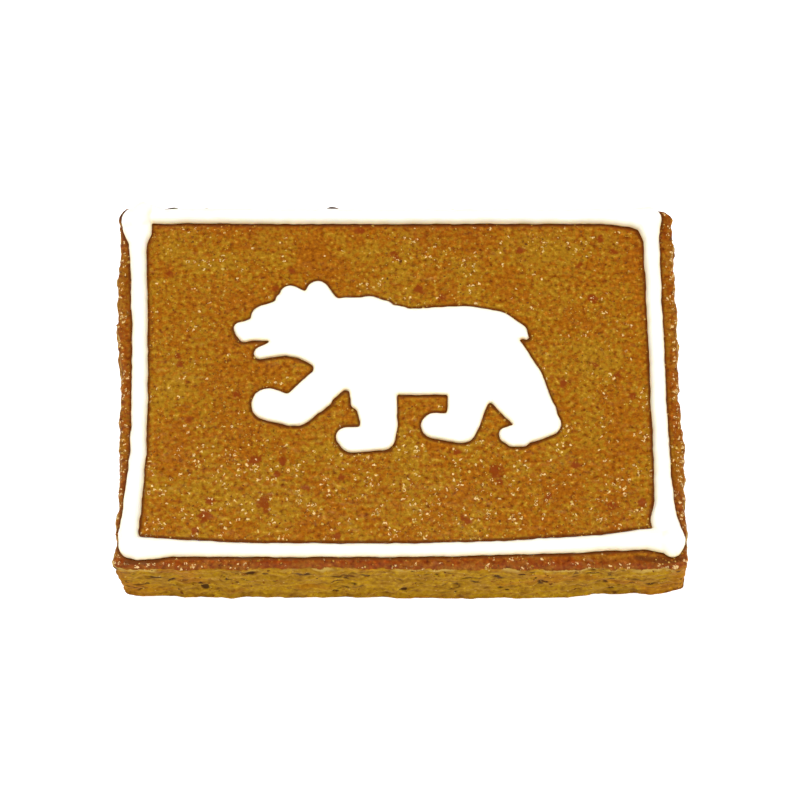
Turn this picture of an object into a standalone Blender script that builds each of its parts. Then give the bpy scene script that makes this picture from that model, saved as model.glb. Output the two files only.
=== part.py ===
"""A hazelnut lebkuchen: a baked nut slab with a piped icing border and a walking bear of flooded icing.

The slab lies flat with its cut front side towards -Y and the bear upright as seen from there.
The origin is the centre of its underside, +X runs along its length and +Z points up.
Named sizes are in millimetres, and the meshes are made in metres.
"""

import math

import bpy
import numpy as np
from mathutils import Vector, geometry, noise

MM = 0.001

# Baked slab
SLAB_LENGTH = 110.0
SLAB_WIDTH = 79.6
SLAB_THICKNESS = 12.4
OUTLINE_STEP = 1.8
CORNER_SOFTNESS = 0.9
RAGGED_DEPTH = 0.24
TOP_MARGIN = 0.85
TOP_GRID = 3.2
TOP_SWELL = 0.12
TOP_DENT = 0.04

# Where the slab's outline turns: shares of its half length and half width, then how far out
# of that place the edge stands in x and y
SLAB_TURNS = (
    ("front left corner", -1.0, -1.0, 0.7, 0.0),
    ("front edge, left", -0.36, -1.0, 0.0, 0.1),
    ("front edge, middle", 0.18, -1.0, 0.0, -0.1),
    ("front right corner", 1.0, -1.0, 0.2, 0.0),
    ("right edge, front", 1.0, -0.96, 0.6, 0.0),
    ("right edge, low", 1.0, -0.64, 0.3, 0.0),
    ("right edge, bulge", 1.0, -0.31, 0.4, 0.0),
    ("right edge, waist", 1.0, -0.08, -0.4, 0.0),
    ("right edge, middle", 1.0, 0.38, -0.2, 0.0),
    ("right edge, high", 1.0, 0.95, -0.4, 0.0),
    ("back right corner", 0.95, 1.0, 0.0, 0.1),
    ("back edge, middle", 0.0, 1.0, 0.0, 0.0),
    ("back left corner", -1.0, 1.0, 0.5, 0.1),
    ("left edge, high", -1.0, 0.96, -0.4, 0.0),
    ("left edge, step", -1.0, 0.26, -0.4, 0.0),
    ("left edge, middle", -1.0, 0.13, 0.5, 0.0),
    ("left edge, waist", -1.0, -0.5, 0.8, 0.0),
    ("left edge, low", -1.0, -0.83, 0.7, 0.0),
    ("front left lump", -1.0, -0.95, -0.1, 0.0),
)

# Rings up the side: height, and how far each is drawn in from the outline
SIDE_RINGS = (
    (0.0, -0.2),
    (0.6, -0.1),
    (2.6, 0.1),
    (4.6, 0.2),
    (6.6, 0.1),
    (8.6, 0.2),
    (10.4, 0.05),
    (11.7, 0.0),
    (12.2, 0.3),
)
CRAG_DEPTH = 0.34
CRAG_LENGTH = 4.5
CRAG_HEIGHT = 1.9
# Where the foot of the side stands off its upper edge: x, y, reach, then how far it moves in x and y
FOOT_SHIFTS = (
    ("front left corner", -54.5, -39.0, 9.0, 1.7, 0.0),
    ("front right corner", 55.5, -39.5, 3.8, 0.3, 1.2),
    ("right side", 55.0, 8.0, 28.0, 0.3, 0.0),
)

# Icing
ICING_GAP = 0.3
ICING_SHIFT = (0.0, 0.2, 0.0)
BORDER_HEIGHT = 2.0
BORDER_HALF_WIDTH = 1.6
BLOB_RISE = 0.45
# Where the starts of the back and the left line stand up: x, y, reach and rise
LINE_STARTS = ((-50.0, 38.2, 1.9, 1.2), (-52.1, 36.7, 2.2, 0.7))
BORDER_INSETS = (0.3, 0.85)
BEAR_HEIGHT = 1.4
BEAR_INSETS = (0.3, 0.95)
BEAR_GRID = 4.5
BEAR_REACH = 34.0
RIM_HEIGHT = 0.45
MELT = 0.15

# Piped border lines, each a run of x, y and half width, placed on the icing's own middle
BORDER_LINES = {
    "back": (
        (-50.0, 38.0, 2.2),
        (-46.8, 37.3, 1.65),
        (-42.0, 37.4, 1.7),
        (0.0, 37.3, 1.7),
        (40.5, 37.4, 1.7),
        (46.0, 37.0, 2.0),
        (49.4, 36.2, 2.85),
    ),
    "right": (
        (49.4, 36.2, 2.85),
        (50.1, 32.0, 1.6),
        (50.4, 10.0, 1.55),
        (50.6, -5.0, 1.6),
        (50.9, -20.0, 1.65),
        (51.0, -26.0, 1.95),
        (50.9, -29.5, 2.6),
        (52.1, -34.0, 2.8),
        (52.4, -35.6, 1.9),
    ),
    "front": (
        (-51.3, -35.5, 2.2),
        (-49.5, -35.75, 2.45),
        (-43.5, -35.6, 1.85),
        (-34.5, -35.9, 1.6),
        (-26.5, -36.1, 1.47),
        (0.5, -36.1, 1.43),
        (19.5, -35.6, 1.47),
        (30.5, -35.1, 1.7),
        (38.5, -34.6, 1.72),
        (47.5, -33.7, 2.2),
        (52.1, -34.0, 2.8),
    ),
    "left": (
        (-52.1, 36.5, 3.0),
        (-51.6, 34.0, 2.4),
        (-51.8, 31.5, 1.75),
        (-50.9, 15.0, 1.6),
        (-50.4, -4.0, 1.6),
        (-50.4, -15.0, 1.6),
        (-51.2, -27.5, 1.8),
        (-51.75, -32.5, 1.95),
        (-51.3, -35.5, 2.2),
    ),
}

# Parts of the bear, each a tapered stroke between two round ends of x, y and radius
BEAR_PARTS = {
    "muzzle": ((-30.1, 11.4, 2.15), (-24.0, 12.4, 3.0)),
    "nose": ((-31.1, 12.0, 1.4), (-28.0, 12.2, 1.5)),
    "upper lip": ((-30.5, 10.0, 1.05), (-29.0, 10.6, 1.3)),
    "brow": ((-26.3, 14.5, 2.7), (-20.5, 15.0, 4.15)),
    "near ear": ((-21.45, 19.35, 2.15), (-19.7, 17.6, 2.9)),
    "ear root": ((-23.15, 18.5, 1.2), (-21.0, 17.5, 2.2)),
    "far ear": ((-16.0, 20.25, 2.4), (-14.9, 17.0, 3.2)),
    "lower jaw": ((-27.05, 6.55, 1.35), (-21.0, 8.3, 2.45)),
    "throat": ((-19.0, 8.4, 2.75), (-14.6, 7.1, 3.95)),
    "cheek": ((-21.0, 11.6, 5.2), (-13.5, 12.0, 6.6)),
    "neck": ((-13.5, 12.0, 6.6), (-6.5, 10.2, 8.8)),
    "chest": ((-9.1, 6.0, 7.7), (-3.5, 7.0, 9.0)),
    "withers": ((-6.0, 16.95, 2.35), (-2.8, 16.1, 2.15)),
    "shoulder": ((-0.6, 15.6, 1.5), (0.7, 15.4, 1.4)),
    "back": ((0.0, 6.8, 9.4), (12.5, 7.2, 9.85)),
    "rump": ((12.5, 7.2, 9.85), (18.3, 10.6, 5.4)),
    "tail": ((19.2, 11.6, 4.15), (23.7, 11.3, 1.6)),
    "tail tip": ((24.3, 11.0, 1.05), (24.75, 10.4, 0.65)),
    "raised forearm": ((-13.35, 0.8, 3.65), (-19.95, -5.85, 3.6)),
    "forearm swell": ((-15.3, -3.1, 2.65), (-16.4, -4.2, 2.6)),
    "raised paw": ((-25.4, -4.75, 3.4), (-21.0, -6.25, 3.15)),
    "foreleg": ((-5.1, 0.0, 4.65), (-5.0, -2.6, 4.65)),
    "foreleg front": ((-8.0, -4.2, 1.55), (-5.5, -3.0, 3.5)),
    "foreshank": ((-4.35, -4.5, 4.05), (-3.8, -8.8, 3.65)),
    "standing heel": ((-3.85, -9.2, 3.65), (-3.05, -12.4, 2.35)),
    "standing paw": ((-4.2, -11.9, 2.8), (-9.0, -12.55, 2.7)),
    "standing toe": ((-10.0, -11.85, 2.2), (-8.5, -12.0, 2.4)),
    "near thigh": ((14.1, -1.0, 4.4), (12.55, -8.5, 3.3)),
    "near paw": ((7.15, -9.45, 2.85), (12.1, -10.1, 3.05)),
    "crotch": ((17.8, -2.95, 1.2), (18.2, -2.8, 1.2)),
    "haunch": ((19.0, 4.7, 6.5), (22.3, -0.2, 6.1)),
    "far thigh": ((22.3, -0.2, 6.05), (26.0, -6.7, 4.5)),
    "far heel": ((26.5, -7.0, 4.35), (28.75, -9.1, 2.55)),
    "far paw": ((25.6, -10.2, 2.75), (28.8, -8.9, 2.75)),
    "far toes": ((22.3, -12.2, 1.75), (24.0, -12.45, 1.5)),
    "far toe": ((21.1, -11.4, 1.65), (25.5, -10.2, 2.3)),
}


def clear_scene():
    for obj in list(bpy.data.objects):
        bpy.data.objects.remove(obj)


def material(name, colour, roughness, coat=0.0):
    """A plain Principled finish. The colour is linear."""
    made = bpy.data.materials.new(name)
    made.use_nodes = True
    shader = made.node_tree.nodes["Principled BSDF"]
    shader.inputs["Base Color"].default_value = (*colour, 1.0)
    shader.inputs["Roughness"].default_value = roughness
    shader.inputs["Metallic"].default_value = 0.0
    shader.inputs["Coat Weight"].default_value = coat
    made.diffuse_color = (*colour, 1.0)
    return made


def add_node(name, points, faces, finish):
    """An object made from points in millimetres."""
    mesh = bpy.data.meshes.new(name)
    mesh.from_pydata([tuple(c * MM for c in point) for point in points], [], faces)
    mesh.validate()
    mesh.materials.append(finish)
    mesh.shade_smooth()
    mesh.set_sharp_from_angle(angle=math.radians(40))
    obj = bpy.data.objects.new(name, mesh)
    bpy.context.scene.collection.objects.link(obj)
    return obj


def resampled(loop, step):
    """The closed loop with evenly spaced points, about a step apart."""
    closed = np.vstack([loop, loop[:1]])
    run = np.concatenate([[0.0], np.cumsum(np.linalg.norm(np.diff(closed, axis=0), axis=1))])
    count = round(run[-1] / step)
    places = np.arange(count) * run[-1] / count
    return np.column_stack([np.interp(places, run, closed[:, k]) for k in range(2)])


def inward(loop):
    """Unit normals of a counterclockwise closed loop, pointing into it."""
    along = np.roll(loop, -1, axis=0) - np.roll(loop, 1, axis=0)
    along /= np.linalg.norm(along, axis=1, keepdims=True)
    return np.column_stack([-along[:, 1], along[:, 0]])


def softened(loop, reach):
    """The closed loop, half a millimetre between points, with its corners rounded over."""
    spacing = 0.5
    loop = resampled(loop, spacing)
    for _ in range(round((reach / spacing) ** 2 * 2)):
        loop = 0.5 * loop + 0.25 * (np.roll(loop, 1, axis=0) + np.roll(loop, -1, axis=0))
    return loop


def slab_outline():
    """The ragged outline of the baked slab, counterclockwise from its front left corner."""
    half = np.array([SLAB_LENGTH / 2, SLAB_WIDTH / 2])
    turns = np.array([half * (along, across) + (dx, dy) for _, along, across, dx, dy in SLAB_TURNS])
    loop = resampled(softened(turns, CORNER_SOFTNESS), OUTLINE_STEP)
    nibble = [
        noise.noise((x / 3.4, y / 3.4, 0.5)) + 0.6 * noise.noise((x / 1.9, y / 1.9, 7.5))
        for x, y in loop
    ]
    return loop + inward(loop) * RAGGED_DEPTH * np.array(nibble)[:, None]


def top_relief(x, y):
    """How far the baked top rises above its mean level, in gentle swells and dents."""
    swell = noise.noise((x / 14.0, y / 14.0, 3.0))
    dent = noise.noise((x / 6.0, y / 6.0, 9.0))
    return TOP_SWELL * swell + TOP_DENT * dent


def foot_shift(x, y, height):
    """How far the lower side moves in x and y near the named places."""
    low = max(0.0, 1.0 - height / SLAB_THICKNESS) ** 1.5
    moved = np.zeros(2)
    for _, place_x, place_y, reach, dx, dy in FOOT_SHIFTS:
        away = math.hypot(x - place_x, y - place_y) / reach
        moved += np.array([dx, dy]) * low * math.exp(-away * away)
    return moved


def crag(x, y, height):
    """Relief of the torn crumb on the side, in lumps longer than they are high."""
    lump = noise.noise((x / CRAG_LENGTH, y / CRAG_LENGTH, height / CRAG_HEIGHT))
    flake = noise.noise((x / 2.2, y / 2.2, height / 1.1 + 20.0))
    return CRAG_DEPTH * (0.6 + lump + 0.5 * flake)


def slab_points():
    """Rings of points from the foot of the slab up to the edge of its top."""
    outline = slab_outline()
    normals = inward(outline)
    rings = []
    for height, drawn_in in SIDE_RINGS:
        ring = []
        for place, into in zip(outline, normals):
            inset = drawn_in
            if 0.0 < height < SIDE_RINGS[-1][0]:
                inset += crag(*place, height)
            ring.append((*(place + into * inset + foot_shift(*place, height)), height))
        rings.append(ring)
    brow = outline + normals * TOP_MARGIN
    rings.append([(x, y, SLAB_THICKNESS + top_relief(x, y)) for x, y in brow])
    return rings


def grid_inside(loop_depth, spacing, least_depth, half_length, half_width):
    """Points of a triangular grid that lie deeper inside an outline than the least depth."""
    found = []
    row_height = spacing * math.sqrt(0.75)
    rows = math.ceil(half_width / row_height)
    columns = math.ceil(half_length / spacing)
    for row in range(-rows, rows + 1):
        shift = 0.5 * spacing * (row % 2)
        for column in range(-columns, columns + 1):
            found.append((column * spacing + shift, row * row_height))
    found = np.array(found)
    return found[loop_depth(found) > least_depth]


def depth_inside(loops):
    """A function that gives how deep each point lies inside the closed loops, below zero outside."""
    starts = np.vstack(loops)
    ends = np.vstack([np.roll(loop, -1, axis=0) for loop in loops])
    runs = ends - starts
    squared = (runs**2).sum(axis=1)

    def depth(points):
        points = np.asarray(points, float)
        offset = points[:, None, :] - starts
        share = np.clip((offset * runs).sum(axis=2) / squared, 0.0, 1.0)
        away = np.linalg.norm(offset - share[..., None] * runs, axis=2).min(axis=1)
        x, y = points[:, :1], points[:, 1:]
        spans = (starts[:, 1] > y) != (ends[:, 1] > y)
        rise = np.where(runs[:, 1] == 0.0, 1.0, runs[:, 1])
        crossing = starts[:, 0] + (y - starts[:, 1]) * runs[:, 0] / rise
        inside = (spans & (crossing > x)).sum(axis=1) % 2 == 1
        return np.where(inside, away, -away)

    return depth


def ring_edges(numbers):
    """The edges that join point numbers into a closed ring."""
    return list(zip(numbers, numbers[1:] + numbers[:1]))


def triangles(points, edges, depth):
    """Triangles between flat points, along the given edges and only inside the shape."""
    made = geometry.delaunay_2d_cdt([Vector(p) for p in points], edges, [], 0, 1e-6)
    places, faces, sources = np.array([tuple(p) for p in made[0]]), np.array(made[2]), made[3]
    inside = depth(places[faces].mean(axis=1)) > 0.0
    numbers = [source[0] for source in sources]
    return [tuple(numbers[corner] for corner in face) for face in faces[inside]]


def wall(lower, upper):
    """Quads between two closed rows of point numbers, facing out of a counterclockwise loop."""
    count = len(lower)
    return [
        (lower[k], lower[(k + 1) % count], upper[(k + 1) % count], upper[k])
        for k in range(count)
    ]


def make_slab():
    """The baked slab: a craggy cut side, a rounded upper edge and a gently swelling top."""
    rings = slab_points()
    count = len(rings[0])
    points = [point for ring in rings for point in ring]
    rows = [list(range(k * count, (k + 1) * count)) for k in range(len(rings))]
    faces = [tuple(reversed(rows[0]))]
    for lower, upper in zip(rows, rows[1:]):
        faces += wall(lower, upper)
    edge = np.array(rings[-1])[:, :2]
    depth = depth_inside([edge])
    inner = grid_inside(depth, TOP_GRID, 0.5 * TOP_GRID, SLAB_LENGTH / 2, SLAB_WIDTH / 2)
    flat = np.vstack([edge, inner])
    first = rows[-1][0]
    points += [(x, y, SLAB_THICKNESS + top_relief(x, y)) for x, y in inner]
    top = triangles(flat, ring_edges(list(range(count))), depth)
    faces += [tuple(first + corner for corner in face) for face in top]
    return add_node("baked_slab", points, faces, material("baked_dough", (0.30, 0.125, 0.02), 0.45, 0.3))


def stroke_distances(points, strokes):
    """Signed distance from each point to each tapered stroke with round ends."""
    start, end = strokes[:, 0], strokes[:, 1]
    run = end[:, :2] - start[:, :2]
    length = np.maximum(np.linalg.norm(run, axis=1), 1e-6)
    unit = run / length[:, None]
    offset = points[:, None, :] - start[:, :2]
    along = (offset * unit).sum(axis=2)
    aside = np.abs(offset[..., 0] * unit[:, 1] - offset[..., 1] * unit[:, 0])
    taper = (start[:, 2] - end[:, 2]) / length
    slant = np.sqrt(1.0 - taper**2)
    reach = along * slant - aside * taper
    at_start = np.hypot(along, aside) - start[:, 2]
    at_end = np.hypot(along - length, aside) - end[:, 2]
    beside = aside * slant + along * taper - start[:, 2]
    return np.where(reach < 0.0, at_start, np.where(reach > length * slant, at_end, beside))


def merged(strokes):
    """A function that gives the signed distance to strokes that have melted together a little."""

    def distance(points):
        return -MELT * np.logaddexp.reduce(-stroke_distances(points, strokes) / MELT, axis=1)

    return distance


def trace(distance, start):
    """The fine outline that passes nearest the start, with the shape on its left."""
    step = 0.15
    probe = 0.01
    shifts = np.array([(0, 0), (probe, 0), (-probe, 0), (0, probe), (0, -probe)])

    def settle(point):
        """The nearby point of the outline, and the direction out of the shape there."""
        for _ in range(3):
            here, east, west, north, south = distance(point + shifts)
            slope = np.array([east - west, north - south]) / (2 * probe)
            point = point - here * slope / (slope @ slope)
        return point, slope / np.linalg.norm(slope)

    point, out = settle(np.array(start, float))
    found = [point]
    for _ in range(20000):
        point, out = settle(point + step * np.array([-out[1], out[0]]))
        if len(found) > 10 and np.linalg.norm(point - found[0]) < step:
            return np.array(found)
        found.append(point)
    raise ValueError("the outline doesn't close")


def turning_points(loop, tolerance, longest):
    """Numbers of the loop's points to keep: few on a straight stretch, more round a turn."""
    kept = [0]
    for k in range(2, len(loop)):
        run = loop[k] - loop[kept[-1]]
        length = np.linalg.norm(run)
        skipped = loop[kept[-1] + 1 : k] - loop[kept[-1]]
        bow = np.abs(skipped[:, 0] * run[1] - skipped[:, 1] * run[0]) / max(length, 1e-9)
        if bow.max() > tolerance or length > longest:
            kept.append(k - 1)
    return kept


def spaced(points, least):
    """The points in order, without those closer than the least spacing to an earlier one."""
    kept = []
    for x, y in points:
        if all(math.hypot(x - px, y - py) >= least for px, py in kept):
            kept.append((x, y))
    return np.array(kept)


class IcingOutline:
    """The outline of an icing shape, with the loops that its rounded shoulder runs along."""

    def __init__(self, distance, starts, tolerance, longest, insets):
        fine_loops = [trace(distance, start) for start in starts]
        kept = [turning_points(fine, tolerance, longest) for fine in fine_loops]
        self.rims = [fine[numbers] for fine, numbers in zip(fine_loops, kept)]
        self.depth = depth_inside(self.rims)
        self.shoulders = []
        for fine, numbers in zip(fine_loops, kept):
            into = inward(fine)[numbers]
            for inset in insets:
                moved = fine[numbers] + inset * into
                clear = np.abs(self.depth(moved) - inset) < 0.2 * inset
                self.shoulders.append(spaced(moved[clear], 0.5 * inset + 0.3))


def add_icing(name, outline, crests, inner, rise, finish):
    """Icing on the slab: steep rims, shoulders and crests as edges, and a top that rises by place."""
    parts = [*outline.rims, *outline.shoulders, *crests, inner]
    flat = np.vstack([part for part in parts if len(part)])
    rims = []
    edges = []
    first = 0
    for part in parts[:-1]:
        numbers = list(range(first, first + len(part)))
        first += len(part)
        ring = ring_edges(numbers)
        open_line = any(part is crest for crest in crests)
        edges += ring[:-1] if open_line else ring
        if any(part is rim for rim in outline.rims):
            rims.append(numbers)
    rim_count = sum(len(numbers) for numbers in rims)
    base = [SLAB_THICKNESS + ICING_GAP + top_relief(x, y) for x, y in flat]
    heights = np.maximum(rise(flat), RIM_HEIGHT)
    heights[:rim_count] = RIM_HEIGHT
    count = len(flat)
    points = [(x, y, z) for (x, y), z in zip(flat, base)]
    points += [(x, y, z + h) for (x, y), z, h in zip(flat, base, heights)]
    skin = triangles(flat, edges, outline.depth)
    faces = [tuple(reversed(face)) for face in skin]
    faces += [tuple(count + corner for corner in face) for face in skin]
    for numbers in rims:
        faces += wall(numbers, [count + corner for corner in numbers])
    return add_node(name, points, faces, finish)


def make_bear(finish):
    """The walking bear: flooded icing, level on top, with a rounded edge."""
    strokes = np.array(list(BEAR_PARTS.values())) + ICING_SHIFT
    outline = IcingOutline(merged(strokes), [(0.0, 17.0)], 0.05, 2.8, BEAR_INSETS)

    def rise(points):
        share = np.clip(outline.depth(points) / BEAR_INSETS[-1], 0.0, 1.0)
        return RIM_HEIGHT + (BEAR_HEIGHT - RIM_HEIGHT) * np.sqrt(1.0 - (1.0 - share) ** 2)

    middle = grid_inside(outline.depth, BEAR_GRID, 2.4, BEAR_REACH, BEAR_REACH)
    return add_icing("icing_bear", outline, [], middle, rise, finish)


def line_strokes(line):
    """The tapered strokes between a piped line's points."""
    return np.array(list(zip(line, line[1:]))) + ICING_SHIFT


def line_crest(line, spacing):
    """Points along the middle of a piped line, about a spacing apart."""
    crest = []
    for start, end in zip(line, line[1:]):
        start, end = np.array(start[:2]), np.array(end[:2])
        count = max(1, round(np.linalg.norm(end - start) / spacing))
        crest += [start + (end - start) * k / count for k in range(count)]
    crest.append(np.array(line[-1][:2]))
    return spaced(crest, 0.8) + ICING_SHIFT[:2]


def border_rise(points):
    """The round crest of each piped line, with the highest line on top where they cross."""
    rises = []
    for line in BORDER_LINES.values():
        within = -stroke_distances(points, line_strokes(line)).min(axis=1)
        share = np.clip(within / BORDER_HALF_WIDTH, 0.0, 1.0)
        swell = BLOB_RISE * np.maximum(within - BORDER_HALF_WIDTH, 0.0)
        rises.append(BORDER_HEIGHT * np.sqrt(1.0 - (1.0 - share) ** 2) + swell)
    heights = np.max(rises, axis=0)
    starts = []
    for x, y, reach, rise in LINE_STARTS:
        away = np.hypot(points[:, 0] - x, points[:, 1] - y) / reach
        starts.append(rise * np.exp(-(away**2)))
    return heights + np.max(starts, axis=0)


def make_border(finish):
    """The piped border: four lines that run together into one ring."""
    strokes = np.vstack([line_strokes(line) for line in BORDER_LINES.values()])
    starts = [(0.0, 39.0), (0.0, 35.6)]
    outline = IcingOutline(merged(strokes), starts, 0.05, 3.0, BORDER_INSETS)
    crests = [line_crest(line, 3.0) for line in BORDER_LINES.values()]
    return add_icing("icing_border", outline, crests, [], border_rise, finish)


def main():
    clear_scene()
    make_slab()
    icing = material("white_icing", (0.93, 0.92, 0.88), 0.42)
    make_border(icing)
    make_bear(icing)


main()
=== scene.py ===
"""Looks of an iced hazelnut lebkuchen: glazed grainy dough, a torn side, a piped border and a bear.

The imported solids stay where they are. Shapes are worked out in millimetres in the part's own frame,
+X along the slab, +Y away from the cut front side and +Z up, and are made in metres.
"""

import math

import bmesh
import bpy
import numpy as np
from bpy.props import FloatProperty, FloatVectorProperty, IntProperty, PointerProperty
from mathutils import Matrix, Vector, noise
from mathutils.bvhtree import BVHTree


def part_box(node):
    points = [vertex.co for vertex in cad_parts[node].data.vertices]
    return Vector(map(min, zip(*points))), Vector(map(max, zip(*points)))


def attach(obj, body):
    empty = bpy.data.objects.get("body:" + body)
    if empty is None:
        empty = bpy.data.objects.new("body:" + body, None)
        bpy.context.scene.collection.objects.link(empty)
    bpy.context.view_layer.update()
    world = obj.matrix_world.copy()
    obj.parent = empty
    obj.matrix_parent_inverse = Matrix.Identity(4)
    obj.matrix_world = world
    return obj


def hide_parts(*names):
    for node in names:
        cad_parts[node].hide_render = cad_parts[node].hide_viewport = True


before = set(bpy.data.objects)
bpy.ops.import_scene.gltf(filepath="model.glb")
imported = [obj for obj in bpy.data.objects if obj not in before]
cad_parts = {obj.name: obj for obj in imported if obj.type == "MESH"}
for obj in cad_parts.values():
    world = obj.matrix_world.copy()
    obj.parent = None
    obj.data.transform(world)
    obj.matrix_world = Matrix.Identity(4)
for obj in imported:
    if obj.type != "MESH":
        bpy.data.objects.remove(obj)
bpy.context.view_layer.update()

bl_info = {
    "name": "Iced hazelnut lebkuchen",
    "version": (1, 0, 0),
    "blender": (4, 5, 0),
    "location": "3D View > Sidebar > Lebkuchen",
    "description": "Bakes a grainy nut slab and pipes its icing border and bear",
    "category": "Object",
}

MM = 0.001

# Baked slab, in millimetres
SLAB_TOP = 12.4
CUT_LINE = 12.1
SIDE_ROWS = 34
SIDE_TOP = 11.7
GUIDE_RADIUS = 3.0
# The four sides from the front one round: the way along each and the way out of it
SIDES = (((1, 0), (0, -1)), ((0, 1), (1, 0)), ((-1, 0), (0, 1)), ((0, -1), (-1, 0)))
# Rows over the rounded upper edge: how far each is drawn in from the side, and its height
BROW_ROWS = ((0.03, 11.95), (0.1, 12.14), (0.24, 12.28), (0.42, 12.37), (0.68, 12.4))
# Rings of the underside: how far the outer one is drawn in, and the size of the others beside it
SOLE_INSET = 0.5
SOLE_SHARES = (0.95, 0.65, 0.35, 0.06)
SOLE_BROWNING = 0.55
# A mark's value where what it measures is far off
FAR_OFF = 9.0

# Creases in the glazed top: ends in x and y, half width and depth
CREASES = (
    ((-37.4, -32.0), (-31.5, -28.2), 0.55, 0.05),
    ((-31.5, -28.2), (-26.9, -23.8), 0.6, 0.07),
    ((43.4, -24.5), (48.8, -22.6), 0.5, 0.08),
)
# Red-brown spots of nut skin in the top: x, y and radius
SKIN_SPOTS = (
    (-0.7, 28.9, 1.15),
    (-45.4, 24.9, 0.9),
    (-42.8, 4.5, 0.9),
    (-43.3, 6.4, 0.7),
    (-27.8, -16.5, 1.5),
    (-26.0, -25.4, 1.6),
    (-25.6, -27.2, 0.9),
    (-36.3, -25.1, 1.1),
    (-37.3, -28.5, 1.4),
    (-39.0, -31.6, 0.9),
    (-24.2, 21.4, 0.8),
    (4.0, 21.4, 1.1),
    (8.5, 19.5, 0.9),
    (24.0, 30.2, 0.9),
    (40.0, 32.7, 0.8),
    (42.5, 29.8, 0.9),
    (35.5, 26.6, 0.8),
    (38.2, 19.1, 1.0),
    (38.5, 4.4, 0.8),
    (42.6, 2.2, 0.9),
    (32.1, 0.4, 0.9),
    (45.7, -2.4, 0.8),
    (19.0, -18.8, 1.5),
    (19.6, -21.0, 0.8),
    (34.1, -17.4, 0.9),
    (13.0, -29.3, 1.1),
    (41.0, -26.1, 0.9),
    (46.7, -25.6, 1.0),
    (-31.6, -1.8, 0.9),
    (-40.7, -7.6, 0.9),
    (-22.3, -16.7, 0.9),
    (-23.5, -19.2, 0.8),
    (-21.2, 25.4, 0.7),
    (-7.7, 34.4, 0.9),
    (-11.6, -32.7, 0.9),
    (-17.7, -22.3, 0.8),
    (11.1, -14.7, 0.8),
    (29.0, -24.2, 0.8),
    (-11.0, -20.1, 0.8),
)
# Where the slab's side stands out or lies back: x, y, height, reach along and upwards, by how much
# and how much painted shade darkens it there
EDGE_BITS = (
    (-44.8, 39.6, 12.2, 1.1, 1.0, 0.5, 0.8),
    (-13.6, 39.6, 12.2, 1.2, 1.0, 0.5, 0.8),
    (54.3, 38.0, 12.0, 1.3, 3.0, 0.7, 0.2),
    (54.6, 36.0, 12.0, 1.0, 3.0, -0.35, 0.0),
    (-54.3, 38.0, 11.8, 2.0, 4.0, 1.0, 0.4),
    (-48.0, -40.2, 0.0, 6.0, 4.0, -0.5, 0.0),
    (-55.0, -39.4, 0.8, 1.6, 1.6, 0.7, 0.0),
    (43.0, -40.2, 0.0, 9.0, 4.0, -0.9, 0.0),
    (54.0, -38.5, 0.0, 4.0, 4.0, -0.5, 0.0),
)
# Pores and cracks in the front side: x, height, half length, half height and how much painted shade
# darkens them
FRONT_PORES = (
    (-37.3, 3.7, 0.7, 0.75, 1.5),
    (-46.4, 8.4, 1.5, 0.5, 0.8),
    (-28.4, 10.4, 0.8, 0.6, 1.0),
    (-18.5, 9.6, 1.9, 0.6, 0.8),
    (14.3, 8.6, 1.5, 0.45, 0.6),
    (11.5, 6.4, 1.8, 0.4, 0.5),
    (19.4, 8.2, 0.8, 0.5, 0.6),
    (39.8, 5.8, 0.6, 0.5, 0.7),
    (37.1, 9.8, 1.6, 0.5, 0.8),
    (44.6, 5.2, 0.8, 0.5, 0.7),
    (48.6, 5.0, 1.4, 0.45, 0.65),
    (40.9, 1.9, 0.8, 0.5, 0.7),
    (-6.0, 9.6, 1.6, 0.5, 0.7),
    (33.5, 9.0, 1.6, 0.38, 0.5),
    (45.5, 7.2, 2.2, 0.35, 0.5),
    (-49.8, 5.0, 2.0, 0.4, 0.5),
    (-43.0, 3.8, 1.6, 0.38, 0.45),
    (-8.0, 4.0, 1.2, 0.4, 0.4),
    (2.0, 2.4, 1.6, 0.4, 0.4),
)

# Beads of sticky glaze and the grain between them, in millimetres
BEAD_SPACING = 1.05
BEAD_RADIUS = 0.44
BEAD_HEIGHT = 0.05
BEAD_SWAY = 1.0
GRAIN_BUMP = 0.08
# Depth of the finest relief on the crumb, on loose grains and on the icing, in millimetres
CRUMB_BUMP = 0.25
NUT_BUMP = 0.05
DIMPLE_BUMP = 0.02

# Loose grains, in millimetres: usual radius, its spread, smallest and largest, and the share sunk in
TOP_GRAINS = (0.3, 0.3, 0.17, 0.6, 0.58)
SIDE_GRAINS = (0.26, 0.35, 0.14, 0.55, 0.5)
GRAIN_SEED = 11
# Where rays down on the top start, and how many rays find the long and the short sides
RAY_HEIGHT = 20.0
SIDE_RAYS = (800, 600)
# Grains keep this far below the cut line at the sides, and are found down to there on the top
CUT_MARGIN = 0.3
GLAZED_ROUGHNESS = 0.35
DRY_ROUGHNESS = 0.8

# Finish colours, linear. A tint is multiplied in
SPOT_COLOUR = (0.19, 0.03, 0.002)
# Painted glint: pale gold paint on the glaze beads stands in for their highlight, beside their real gloss
BEAD_GLINT_PAINT = (0.9, 0.66, 0.28)
# Painted contact shadow, with the darker glaze, along the icing's foot and in front of the front dollops
SEAM_SHADE_COLOUR = (0.1, 0.022, 0.002)
LIP_COLOUR = (0.5, 0.34, 0.075)
# Painted warm glow of light thrown back from the dough onto the icing's foot
DOUGH_GLOW_FOOT = (1.0, 0.76, 0.34)
BROWNED_TINT = (0.82, 0.56, 0.7)
MARGIN_TINT = (0.84, 0.64, 0.7)
TOASTED_TINT = (0.96, 0.74, 0.6)
SHADED_ICING_TINT = (0.985, 0.975, 0.95)
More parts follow.
